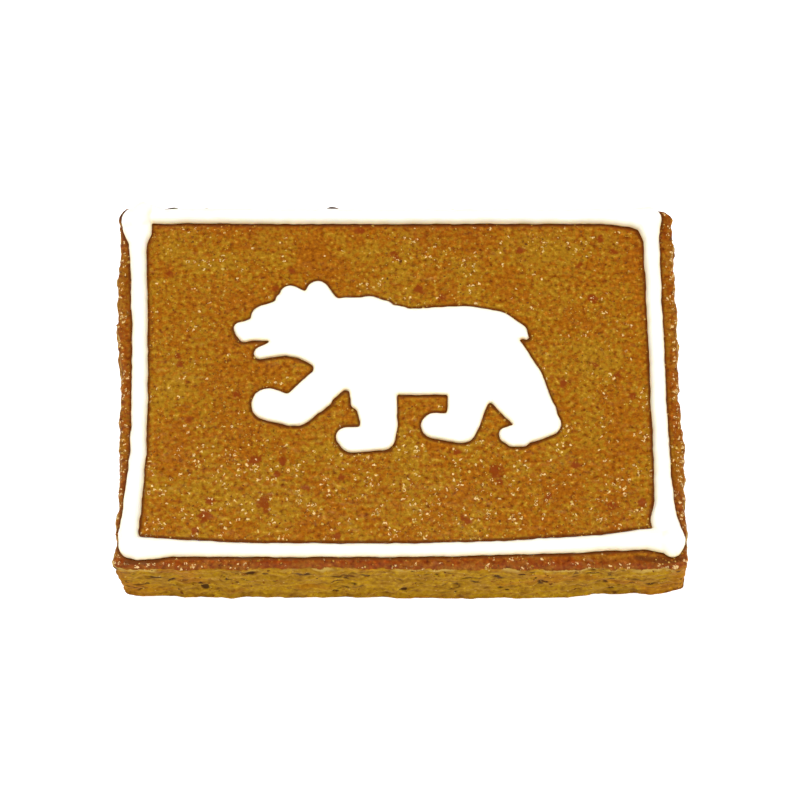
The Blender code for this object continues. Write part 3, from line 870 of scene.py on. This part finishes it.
def melted_mesh(name, shells, step, settling):
    """One smooth skin over all the shells, as icing that has run together."""
    points = []
    faces = []
    for shell, shell_faces in shells:
        faces += [[corner + len(points) for corner in face] for face in shell_faces]
        points += shell.tolist()
    rough = bpy.data.meshes.new(name)
    rough.from_pydata(points, [], faces)
    form = bpy.data.objects.new(name, rough)
    bpy.context.scene.collection.objects.link(form)
    remesh = form.modifiers.new("Melt", "REMESH")
    remesh.mode = "VOXEL"
    remesh.voxel_size = step / MM
    smooth = form.modifiers.new("Settle", "SMOOTH")
    smooth.factor = 0.5
    smooth.iterations = settling
    graph = bpy.context.evaluated_depsgraph_get()
    mesh = bpy.data.meshes.new_from_object(form.evaluated_get(graph))
    bpy.data.objects.remove(form)
    bpy.data.meshes.remove(rough)
    return mesh


def add_icing(name, shells, step, settling, finish):
    """A piece of icing that follows the swell of the dough under it."""
    mesh = melted_mesh(name, shells, step, settling)
    points = np.zeros(len(mesh.vertices) * 3)
    mesh.vertices.foreach_get("co", points)
    points = points.reshape(-1, 3)
    rise = np.clip(points[:, 2], 0.0, None)
    for axis, shift in ((0, 91.0), (1, 97.0)):
        flat = points * (1, 1, 0)
        points[:, axis] += 0.16 * (noise_at(flat, 3.2, shift) + 0.5 * noise_at(flat, 1.3, shift + 3.0))
    points[:, 2] += SLAB_TOP + top_swell(points[:, 0], points[:, 1])
    points[:, 2] += 0.05 * rise * noise_at(points * (1, 1, 0), 4.5, 61.0)
    faces = [tuple(face.vertices) for face in mesh.polygons]
    bpy.data.meshes.remove(mesh)
    return add_piece(name, points, faces, finish, {"above_dough": rise})


def pebble_shape():
    """The points and faces of a ball with twenty faces."""
    ball = bmesh.new()
    bmesh.ops.create_icosphere(ball, subdivisions=1, radius=1.0)
    points = np.array([vertex.co for vertex in ball.verts])
    faces = np.array([[vertex.index for vertex in face.verts] for face in ball.faces])
    ball.free()
    return points, faces


def scatter_grains(places, normals, sizes, sink, chance):
    """Joined pebbles of random form, each sunk into the dough by a share of its size."""
    ball, ball_faces = pebble_shape()
    count = len(places)
    turns = chance.normal(size=(count, 4))
    turns /= np.linalg.norm(turns, axis=1, keepdims=True)
    w, x, y, z = turns.T
    turned = np.stack(
        [
            np.stack([1 - 2 * (y * y + z * z), 2 * (x * y - z * w), 2 * (x * z + y * w)], axis=1),
            np.stack([2 * (x * y + z * w), 1 - 2 * (x * x + z * z), 2 * (y * z - x * w)], axis=1),
            np.stack([2 * (x * z - y * w), 2 * (y * z + x * w), 1 - 2 * (x * x + y * y)], axis=1),
        ],
        axis=1,
    )
    narrow = chance.uniform(0.6, 1.0, count)
    squash = np.column_stack([np.ones(count), narrow, chance.uniform(0.45, 0.85, count)])
    dented = ball[None] * chance.uniform(0.85, 1.15, (count, len(ball), 1))
    shaped = dented * (squash * sizes[:, None])[:, None, :]
    moved = np.einsum("nij,nkj->nki", turned, shaped)
    centres = places - normals * (sink * sizes)[:, None]
    points = (moved + centres[:, None]).reshape(-1, 3)
    faces = (ball_faces[None] + np.arange(count)[:, None, None] * len(ball)).reshape(-1, 3)
    tones = np.repeat(chance.uniform(0.0, 1.0, count), len(ball))
    return points, faces.tolist(), tones


def add_grains(name, places, normals, recipe, finish, chance):
    """A piece of joined grains of random size, form and shade at the given places."""
    usual, spread, smallest, largest, sunk = recipe
    sizes = np.clip(chance.lognormal(math.log(usual), spread, len(places)), smallest, largest)
    points, faces, tones = scatter_grains(places, normals, sizes, sunk, chance)
    return add_piece(name, points, faces, finish, {"tone": tones})


def top_grain_places(tree, dough, chance):
    """Where grains stand out of the glazed top: in loose patches and clear of the icing."""
    low, high = slab_box()
    spread = chance.uniform(low[:2], high[:2], (3 * dough.top_grains, 2))
    spread = spread[icing_distance(spread) > -0.2]
    thick = noise_at(np.column_stack([spread, np.zeros(len(spread))]), 6.0, 71.0)
    spread = spread[chance.uniform(-0.5, 0.6, len(spread)) < thick][: dough.top_grains]
    hits = [tree.ray_cast(Vector((x, y, RAY_HEIGHT)), Vector((0, 0, -1))) for x, y in spread]
    hits = [hit for hit in hits if hit[0] is not None and hit[0].z > CUT_LINE - CUT_MARGIN]
    return np.array([hit[0] for hit in hits]), np.array([hit[1] for hit in hits])


def side_grain_places(tree, dough, chance):
    """Where crumbs stand out of the torn sides, and the ways out there."""
    low, high = slab_box()
    rim, out = rim_rays(((low + high) / 2)[:2], ((high - low) / 2)[:2], SIDE_RAYS)
    chosen = chance.integers(0, len(rim), dough.side_grains)
    heights = chance.uniform(0.4, CUT_LINE - CUT_MARGIN, dough.side_grains)
    hits = [
        tree.ray_cast(Vector((*rim[k], height)), Vector((*out[k], 0.0)))
        for k, height in zip(chosen, heights)
    ]
    return np.array([hit[0] for hit in hits]), np.column_stack([out[chosen], np.zeros(len(chosen))])


def fill(tree, socket, value):
    """Joins a socket to another node's socket, or sets it to a number, a vector or a colour."""
    if isinstance(value, bpy.types.NodeSocket):
        tree.links.new(value, socket)
    elif socket.type == "RGBA":
        socket.default_value = (*value[:3], 1.0)
    else:
        socket.default_value = value


def put(tree, kind, inputs=None, **settings):
    """Adds a node with its settings and fills its inputs."""
    node = tree.nodes.new(kind)
    for key, value in settings.items():
        setattr(node, key, value)
    for key, value in (inputs or {}).items():
        fill(tree, node.inputs[key], value)
    return node


def put_noise(tree, position, size, detail=2.0, roughness=0.5):
    """Noise in lumps of a size in millimetres, from 0 to 1."""
    inputs = {"Vector": position, "Scale": 1.0 / (size * MM), "Detail": detail, "Roughness": roughness}
    return put(tree, "ShaderNodeTexNoise", inputs).outputs["Fac"]


def put_range(tree, value, low, high, to_low=0.0, to_high=1.0):
    """The value brought from one range to another, smoothly and no further."""
    inputs = {"Value": value, "From Min": low, "From Max": high, "To Min": to_low, "To Max": to_high}
    node = put(tree, "ShaderNodeMapRange", inputs, interpolation_type="SMOOTHSTEP")
    return node.outputs["Result"]


def put_math(tree, operation, *values):
    """Two or three values brought together."""
    return put(tree, "ShaderNodeMath", dict(enumerate(values)), operation=operation).outputs["Value"]


def put_bump(tree, height, depth):
    """The normal of a relief whose depth is in millimetres."""
    inputs = {"Strength": 1.0, "Distance": depth * MM, "Height": height}
    return put(tree, "ShaderNodeBump", inputs).outputs["Normal"]


def put_mix(tree, share, first, second, blend="MIX", kind="Color"):
    """Two colours, numbers or normals mixed by a share."""
    data_type = {"Color": "RGBA", "Float": "FLOAT", "Vector": "VECTOR"}[kind]
    node = put(tree, "ShaderNodeMix", data_type=data_type, blend_type=blend)
    for key, value in (("Factor_Float", share), (f"A_{kind}", first), (f"B_{kind}", second)):
        fill(tree, next(socket for socket in node.inputs if socket.identifier == key), value)
    return next(socket for socket in node.outputs if socket.identifier == f"Result_{kind}")


def put_ramp(tree, value, stops):
    """A colour for each value, by stops of a place and a colour."""
    node = put(tree, "ShaderNodeValToRGB", {"Fac": value})
    ramp = node.color_ramp
    while len(ramp.elements) < len(stops):
        ramp.elements.new(1.0)
    for element, (place, colour) in zip(ramp.elements, stops):
        element.position = place
        element.color = (*colour, 1.0)
    return node.outputs["Color"]


def new_group(name, incoming, outgoing):
    """A node group with named inputs and outputs, and its two end nodes."""
    group = bpy.data.node_groups.new(name, "ShaderNodeTree")
    for in_out, sockets in (("INPUT", incoming), ("OUTPUT", outgoing)):
        for socket, kind in sockets.items():
            group.interface.new_socket(socket, in_out=in_out, socket_type=f"NodeSocket{kind}")
    return group, group.nodes.new("NodeGroupInput"), group.nodes.new("NodeGroupOutput")


def nut_mottle_group():
    """Uneven browning with golden, pale and dark dots of ground nut, over a colour."""
    name = "Nut mottle"
    if name in bpy.data.node_groups:
        return bpy.data.node_groups[name]
    incoming = {"Position": "Vector", "Colour": "Color", "Dot colour": "Color", "Dark dots": "Float"}
    group, start, end = new_group(name, incoming, {"Colour": "Color"})
    position = start.outputs["Position"]
    patches = put_noise(group, position, 8.0, 3.0, 0.6)
    dots = put_noise(group, position, 0.95, 2.0, 0.55)
    golden = put_range(group, put_math(group, "MULTIPLY_ADD", patches, 0.75, dots), 0.76, 1.02)
    browned = put_mix(group, golden, start.outputs["Colour"], start.outputs["Dot colour"])
    moved = put(group, "ShaderNodeVectorMath", {0: position, 1: (0.3, 0.7, 0.2)}, operation="ADD")
    specks = put_ramp(group, put_noise(group, moved.outputs["Vector"], 0.9, 2.0, 0.6), NUT_SPECKS)
    mottled = put_mix(group, start.outputs["Dark dots"], browned, specks, "MULTIPLY")
    fill(group, end.inputs["Colour"], mottled)
    return group


def wet_grain_group():
    """Height of ground nuts under beads of sticky glaze, and how far up a bead each place lies."""
    name = "Wet grain"
    if name in bpy.data.node_groups:
        return bpy.data.node_groups[name]
    incoming = {"Position": "Vector", "Stickiness": "Float"}
    group, start, end = new_group(name, incoming, {"Height": "Float", "Bead": "Float"})
    position = start.outputs["Position"]
    grain = put_noise(group, position, 1.1, 1.0, 0.4)
    nick = put_noise(group, position, 0.4, 1.0, 0.5)
    rough = put_math(group, "MULTIPLY_ADD", nick, 0.3, grain)
    sway = put(group, "ShaderNodeTexNoise", {"Vector": position, "Scale": 1.0 / (0.7 * MM), "Detail": 1.0})
    swayed = put(
        group,
        "ShaderNodeVectorMath",
        {0: sway.outputs["Color"], 1: (BEAD_SWAY * MM,) * 3, 2: position},
        operation="MULTIPLY_ADD",
    )
    cells = put(
        group,
        "ShaderNodeTexVoronoi",
        {"Vector": swayed.outputs["Vector"], "Scale": 1.0 / (BEAD_SPACING * MM)},
        voronoi_dimensions="2D",
    )
    away = put_math(group, "MULTIPLY", cells.outputs["Distance"], BEAD_SPACING / BEAD_RADIUS)
    dome = put_math(group, "SUBTRACT", 1.0, put_math(group, "MULTIPLY", away, away))
    thick = put_math(group, "ADD", put_noise(group, position, 4.2, 1.0, 0.5), start.outputs["Stickiness"])
    chance = put_math(group, "MULTIPLY_ADD", cells.outputs["Color"], 0.5, thick)
    chosen = put_range(group, chance, 0.92, 1.02)
    broken = put_math(group, "MULTIPLY", chosen, put_range(group, nick, 0.4, 0.56, 0.1, 1.0))
    bead = put_math(group, "MULTIPLY", put_math(group, "MAXIMUM", dome, 0.0), broken)
    height = put_math(group, "MULTIPLY_ADD", bead, BEAD_HEIGHT / GRAIN_BUMP, rough)
    fill(group, end.inputs["Height"], height)
    fill(group, end.inputs["Bead"], bead)
    return group


def new_material(name):
    """An empty material, its tree, its shader and its position in the piece's own frame."""
    made = bpy.data.materials.new(name)
    made.use_nodes = True
    tree = made.node_tree
    shader = tree.nodes["Principled BSDF"]
    position = put(tree, "ShaderNodeTexCoord").outputs["Object"]
    return made, tree, shader, position


def mark_of(tree, name):
    """The value kept on each point under a name."""
    return put(tree, "ShaderNodeAttribute", attribute_name=name).outputs["Fac"]


def glint(shader):
    """The golden shine of sticky glaze and oily nuts."""
    shader.inputs["Specular Tint"].default_value = (*GLINT_TINT, 1.0)
    shader.inputs["Specular IOR Level"].default_value = GLINT_LEVEL


def mottled(tree, dough, position, colour, dark_dots):
    """A colour of dough under the nut mottle."""
    inputs = {
        "Position": position,
        "Colour": colour,
        "Dot colour": dough.golden_colour,
        "Dark dots": dark_dots,
    }
    return put(tree, "ShaderNodeGroup", inputs, node_tree=nut_mottle_group()).outputs["Colour"]


def wet_grain(tree, position, stickiness):
    """The wet grain placed in a material."""
    inputs = {"Position": position, "Stickiness": stickiness}
    return put(tree, "ShaderNodeGroup", inputs, node_tree=wet_grain_group())


def crumb_look(tree, dough, position):
    """Colour and normal of the torn crumb, in layers and browner where the oven reached it."""
    crumb = mottled(tree, dough, position, dough.crumb_colour, 0.6)
    layers = put(tree, "ShaderNodeVectorMath", {0: position, 1: (1.0, 1.0, 2.2)}, operation="MULTIPLY")
    streak = put_noise(tree, layers.outputs["Vector"], 3.6, 3.0, 0.55)
    browned = put_range(tree, mark_of(tree, "browning"), 0.0, 1.0)
    toasted = put_mix(tree, browned, crumb, TOASTED_TINT, "MULTIPLY")
    layered = put_mix(tree, 1.0, toasted, put_ramp(tree, streak, CRUMB_STREAKS), "MULTIPLY")
    crumbly = put_math(tree, "MULTIPLY_ADD", put_noise(tree, position, 0.9, 3.0, 0.6), 0.7, streak)
    return layered, put_bump(tree, crumbly, CRUMB_BUMP)


def glaze_look(tree, dough, position, line):
    """Colour, roughness and normal of the glazed top, with its spots, beads with a painted glint, and a
    dark seam of painted contact shadow.
    """
    top = mottled(tree, dough, position, dough.glaze_colour, 1.0)
    browned = put_range(tree, mark_of(tree, "browning"), 0.05, 1.0)
    redder = put_mix(tree, browned, top, BROWNED_TINT, "MULTIPLY")
    red_top = put_mix(tree, put_range(tree, line, 2.8, 4.6, 1.0, 0.0), redder, MARGIN_TINT, "MULTIPLY")
    in_spot = put_math(tree, "SUBTRACT", mark_of(tree, "skin_spot"), 1.3)
    spot_line = put_math(tree, "MULTIPLY_ADD", put_noise(tree, position, 1.3, 3.0, 0.65), 2.6, in_spot)
    spotted = put_mix(tree, put_range(tree, spot_line, -0.25, 0.5, 0.0, 0.92), red_top, SPOT_COLOUR)
    wet = wet_grain(tree, position, mark_of(tree, "stickiness"))
    bead = wet.outputs["Bead"]
    # Painted glint: the beads are painted pale gold, beside the gloss of their low roughness
    glint_painted = put_mix(tree, put_range(tree, bead, 0.2, 0.9, 0.0, 0.65), spotted, BEAD_GLINT_PAINT)
    # Painted contact shadow, with darker glaze, round the icing and in front of the front dollops
    seam = put_range(tree, mark_of(tree, "from_icing"), 0.08, 0.62, 0.9, 0.0)
    seam_shaded = put_mix(tree, seam, glint_painted, SEAM_SHADE_COLOUR)
    dull = put_range(tree, mark_of(tree, "above_cut"), 0.6, 2.4, 0.5, 0.28)
    roughness = put_mix(tree, put_range(tree, bead, 0.02, 0.2), dull, 0.13, kind="Float")
    return seam_shaded, roughness, put_bump(tree, wet.outputs["Height"], GRAIN_BUMP)


def slab_finish(dough):
    """Glazed grainy top, reddish along the edge, over a torn crumb with a pale lip."""
    made, tree, shader, position = new_material("glazed_dough")
    from_cut = put_math(tree, "SUBTRACT", mark_of(tree, "above_cut"), 0.7)
    line = put_math(tree, "MULTIPLY_ADD", put_noise(tree, position, 1.5, 3.0, 0.6), 1.4, from_cut)
    crumb, crumb_normal = crumb_look(tree, dough, position)
    top, top_roughness, top_normal = glaze_look(tree, dough, position, line)
    below_line = put_range(tree, line, 0.02, 0.12, 1.0, 0.0)
    lip = put_math(tree, "MULTIPLY", put_range(tree, line, -1.3, -0.2), below_line)
    broken = put_range(tree, put_noise(tree, position, 5.0, 2.0, 0.6), 0.44, 0.6, 0.0, 0.75)
    lit_crumb = put_mix(tree, put_math(tree, "MULTIPLY", lip, broken), crumb, LIP_COLOUR)
    glazed = put_range(tree, line, -0.08, 0.1)
    body = put_mix(tree, glazed, lit_crumb, top)
    # Painted shade darkens pores, cracks, creases and pits
    hollow = put_range(tree, mark_of(tree, "hollow"), 0.1, 0.6, 0.0, 0.92)
    fill(tree, shader.inputs["Base Color"], put_mix(tree, hollow, body, dough.pore_shade_colour))
    fill(tree, shader.inputs["Roughness"], put_mix(tree, glazed, 0.9, top_roughness, kind="Float"))
    fill(tree, shader.inputs["Normal"], put_mix(tree, glazed, crumb_normal, top_normal, kind="Vector"))
    glint(shader)
    return made


def grain_finish(name, dough, roughness):
    """Ground nut grains in different shades."""
    made, tree, shader, position = new_material(name)
    shades = (
        (0.0, (0.1, 0.03, 0.002)),
        (0.25, (0.21, 0.065, 0.003)),
        (0.5, tuple(dough.glaze_colour)),
        (0.78, tuple(dough.golden_colour)),
        (0.96, (0.5, 0.32, 0.07)),
    )
    fill(tree, shader.inputs["Base Color"], put_ramp(tree, mark_of(tree, "tone"), shades))
    shader.inputs["Roughness"].default_value = roughness
    height = wet_grain(tree, position, 0.0).outputs["Height"]
    fill(tree, shader.inputs["Normal"], put_bump(tree, height, NUT_BUMP))
    glint(shader)
    return made


def icing_finish(icing):
    """Dried sugar icing: white, a little cream in its shade, with a painted warm glow of light from the
    dough near its foot, smooth with faint dimples.
    """
    name = "dried_icing"
    if name in bpy.data.materials:
        return bpy.data.materials[name]
    made, tree, shader, position = new_material(name)
    clouds = put_range(tree, put_noise(tree, position, 5.0, 3.0, 0.55), 0.3, 0.7)
    shaded = tuple(channel * fade for channel, fade in zip(icing.icing_colour, SHADED_ICING_TINT))
    clouded = put_mix(tree, clouds, shaded, icing.icing_colour)
    # Painted warm glow of light thrown back from the dough, on the icing's lowest part
    dough_glow = put_range(tree, mark_of(tree, "above_dough"), 0.1, 1.5, 0.85, 0.0)
    fill(tree, shader.inputs["Base Color"], put_mix(tree, dough_glow, clouded, DOUGH_GLOW_FOOT))
    shader.inputs["Roughness"].default_value = 0.38
    shader.inputs["Subsurface Weight"].default_value = 0.25
    shader.inputs["Subsurface Radius"].default_value = (1.0, 0.75, 0.35)
    shader.inputs["Subsurface Scale"].default_value = 0.8 * MM
    dimples = put_noise(tree, position, 0.9, 3.0, 0.55)
    fill(tree, shader.inputs["Normal"], put_bump(tree, dimples, DIMPLE_BUMP))
    return made


def floor_finish(stage):
    """An even pale floor that glows a little."""
    made, _, shader, _ = new_material("pale_floor")
    shader.inputs["Base Color"].default_value = (*stage.floor_colour, 1.0)
    shader.inputs["Roughness"].default_value = 0.8
    shader.inputs["Emission Color"].default_value = (1.0, 1.0, 1.0, 1.0)
    shader.inputs["Emission Strength"].default_value = stage.floor_glow
    return made


class LEBKUCHEN_OT_bake_slab(bpy.types.Operator):
    """Bake the nut slab with its glazed top and torn sides"""

    bl_idname = "lebkuchen.bake_slab"
    bl_label = "Bake slab"

    def execute(self, context):
        dough = context.scene.lebkuchen_dough
        points, faces, marks = bake_slab(dough)
        slab = add_piece("glazed_slab", points, faces, slab_finish(dough), marks)
        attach(slab, "root")
        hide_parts("baked_slab")
        return {"FINISHED"}


class LEBKUCHEN_OT_scatter_grains(bpy.types.Operator):
    """Scatter ground nut grains in the glazed top and in the torn sides"""

    bl_idname = "lebkuchen.scatter_grains"
    bl_label = "Scatter nut grains"

    def execute(self, context):
        dough = context.scene.lebkuchen_dough
        slab = bpy.data.objects.get("glazed_slab")
        if slab is None:
            raise RuntimeError("bake the slab before its grains are scattered")
        tree = ray_tree(slab.data)
        chance = np.random.default_rng(GRAIN_SEED)
        places, normals = top_grain_places(tree, dough, chance)
        finish = grain_finish("glazed_grain", dough, GLAZED_ROUGHNESS)
        grains = add_grains("nut_grains", places, normals, TOP_GRAINS, finish, chance)
        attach(grains, "root")
        places, normals = side_grain_places(tree, dough, chance)
        finish = grain_finish("dry_grain", dough, DRY_ROUGHNESS)
        nibs = add_grains("crumb_nibs", places, normals, SIDE_GRAINS, finish, chance)
        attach(nibs, "root")
        return {"FINISHED"}


class LEBKUCHEN_OT_pipe_border(bpy.types.Operator):
    """Pipe the four lines of the white border"""

    bl_idname = "lebkuchen.pipe_border"
    bl_label = "Pipe border"

    def execute(self, context):
        icing = context.scene.lebkuchen_icing
        shells = stroke_shells(border_strokes(), border_profile)
        shells += [dollop(*place) for place in DOLLOPS]
        border = add_icing("piped_border", shells, icing.border_step, BORDER_SETTLING, icing_finish(icing))
        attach(border, "root")
        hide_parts("icing_border")
        return {"FINISHED"}


class LEBKUCHEN_OT_flood_bear(bpy.types.Operator):
    """Flood the walking bear with white icing"""

    bl_idname = "lebkuchen.flood_bear"
    bl_label = "Flood bear"

    def execute(self, context):
        icing = context.scene.lebkuchen_icing
        shells = stroke_shells(bear_strokes(), bear_profile)
        bear = add_icing("flooded_bear", shells, icing.bear_step, BEAR_SETTLING, icing_finish(icing))
        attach(bear, "root")
        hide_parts("icing_bear")
        return {"FINISHED"}


def aimed(thing, place, target):
    """Puts a light or the camera at a place, looking at a target, both in metres."""
    thing.location = place
    thing.rotation_euler = (Vector(target) - Vector(place)).to_track_quat("-Z", "Y").to_euler()
    bpy.context.scene.collection.objects.link(thing)
    return thing


def soft_light(name, place, width, power):
    """A large square light aimed at the slab."""
    lamp = bpy.data.lights.new(name, "AREA")
    lamp.size = width
    lamp.energy = power
    light = aimed(bpy.data.objects.new(name, lamp), place, (0.0, 0.0, 0.0))
    light.visible_camera = False
    return light


class LEBKUCHEN_OT_set_stage(bpy.types.Operator):
    """Lay the pale floor, light the lebkuchen softly and aim the camera"""

    bl_idname = "lebkuchen.set_stage"
    bl_label = "Set stage"

    def execute(self, context):
        stage = context.scene.lebkuchen_stage
        floor_mesh = bpy.data.meshes.new("floor")
        ends = (-FLOOR_HALF, FLOOR_HALF)
        corners = [(x, y, FLOOR_RISE * MM) for y in ends for x in ends]
        floor_mesh.from_pydata(corners, [], [(0, 1, 3, 2)])
        floor_mesh.materials.append(floor_finish(stage))
        floor = bpy.data.objects.new("floor", floor_mesh)
        context.scene.collection.objects.link(floor)
        for name, (place, width) in LIGHTS.items():
            soft_light(name, place, width, getattr(stage, f"{name}_power"))
        world = bpy.data.worlds.new("room")
        world.use_nodes = True
        background = world.node_tree.nodes["Background"]
        background.inputs["Color"].default_value = (1.0, 1.0, 1.0, 1.0)
        background.inputs["Strength"].default_value = stage.room_light
        context.scene.world = world
        lens = bpy.data.cameras.new("camera")
        lens.sensor_width = 36.0
        lens.lens = stage.lens
        back = Vector((0.0, -math.cos(stage.elevation), math.sin(stage.elevation)))
        place = Vector(CAMERA_MIDDLE) * MM + back * stage.distance
        camera = aimed(bpy.data.objects.new("camera", lens), place, Vector(PICTURE_MIDDLE) * MM)
        context.scene.camera = camera
        context.scene.view_settings.view_transform = "Standard"
        return {"FINISHED"}


class LEBKUCHEN_PT_panel(bpy.types.Panel):
    """Shows the buttons of the steps that make the lebkuchen, and their settings"""

    bl_idname = "LEBKUCHEN_PT_panel"
    bl_label = "Iced lebkuchen"
    bl_space_type = "VIEW_3D"
    bl_region_type = "UI"
    bl_category = "Lebkuchen"

    def draw(self, context):
        for operator in OPERATORS:
            self.layout.operator(operator.bl_idname)
        for settings in (
            context.scene.lebkuchen_dough,
            context.scene.lebkuchen_icing,
            context.scene.lebkuchen_stage,
        ):
            box = self.layout.box()
            for key in settings.__annotations__:
                box.prop(settings, key)


SETTINGS = {
    "lebkuchen_dough": DoughSettings,
    "lebkuchen_icing": IcingSettings,
    "lebkuchen_stage": StageSettings,
}
OPERATORS = (
    LEBKUCHEN_OT_set_stage,
    LEBKUCHEN_OT_bake_slab,
    LEBKUCHEN_OT_scatter_grains,
    LEBKUCHEN_OT_pipe_border,
    LEBKUCHEN_OT_flood_bear,
)


def register():
    for name, settings in SETTINGS.items():
        bpy.utils.register_class(settings)
        setattr(bpy.types.Scene, name, PointerProperty(type=settings))
    for operator in OPERATORS:
        bpy.utils.register_class(operator)
    bpy.utils.register_class(LEBKUCHEN_PT_panel)


def unregister():
    bpy.utils.unregister_class(LEBKUCHEN_PT_panel)
    for operator in reversed(OPERATORS):
        bpy.utils.unregister_class(operator)
    for name, settings in SETTINGS.items():
        delattr(bpy.types.Scene, name)
        bpy.utils.unregister_class(settings)


def main():
    register()
    bpy.ops.lebkuchen.set_stage()
    bpy.ops.lebkuchen.bake_slab()
    bpy.ops.lebkuchen.scatter_grains()
    bpy.ops.lebkuchen.pipe_border()
    bpy.ops.lebkuchen.flood_bear()


if __name__ == "__main__":
    main()
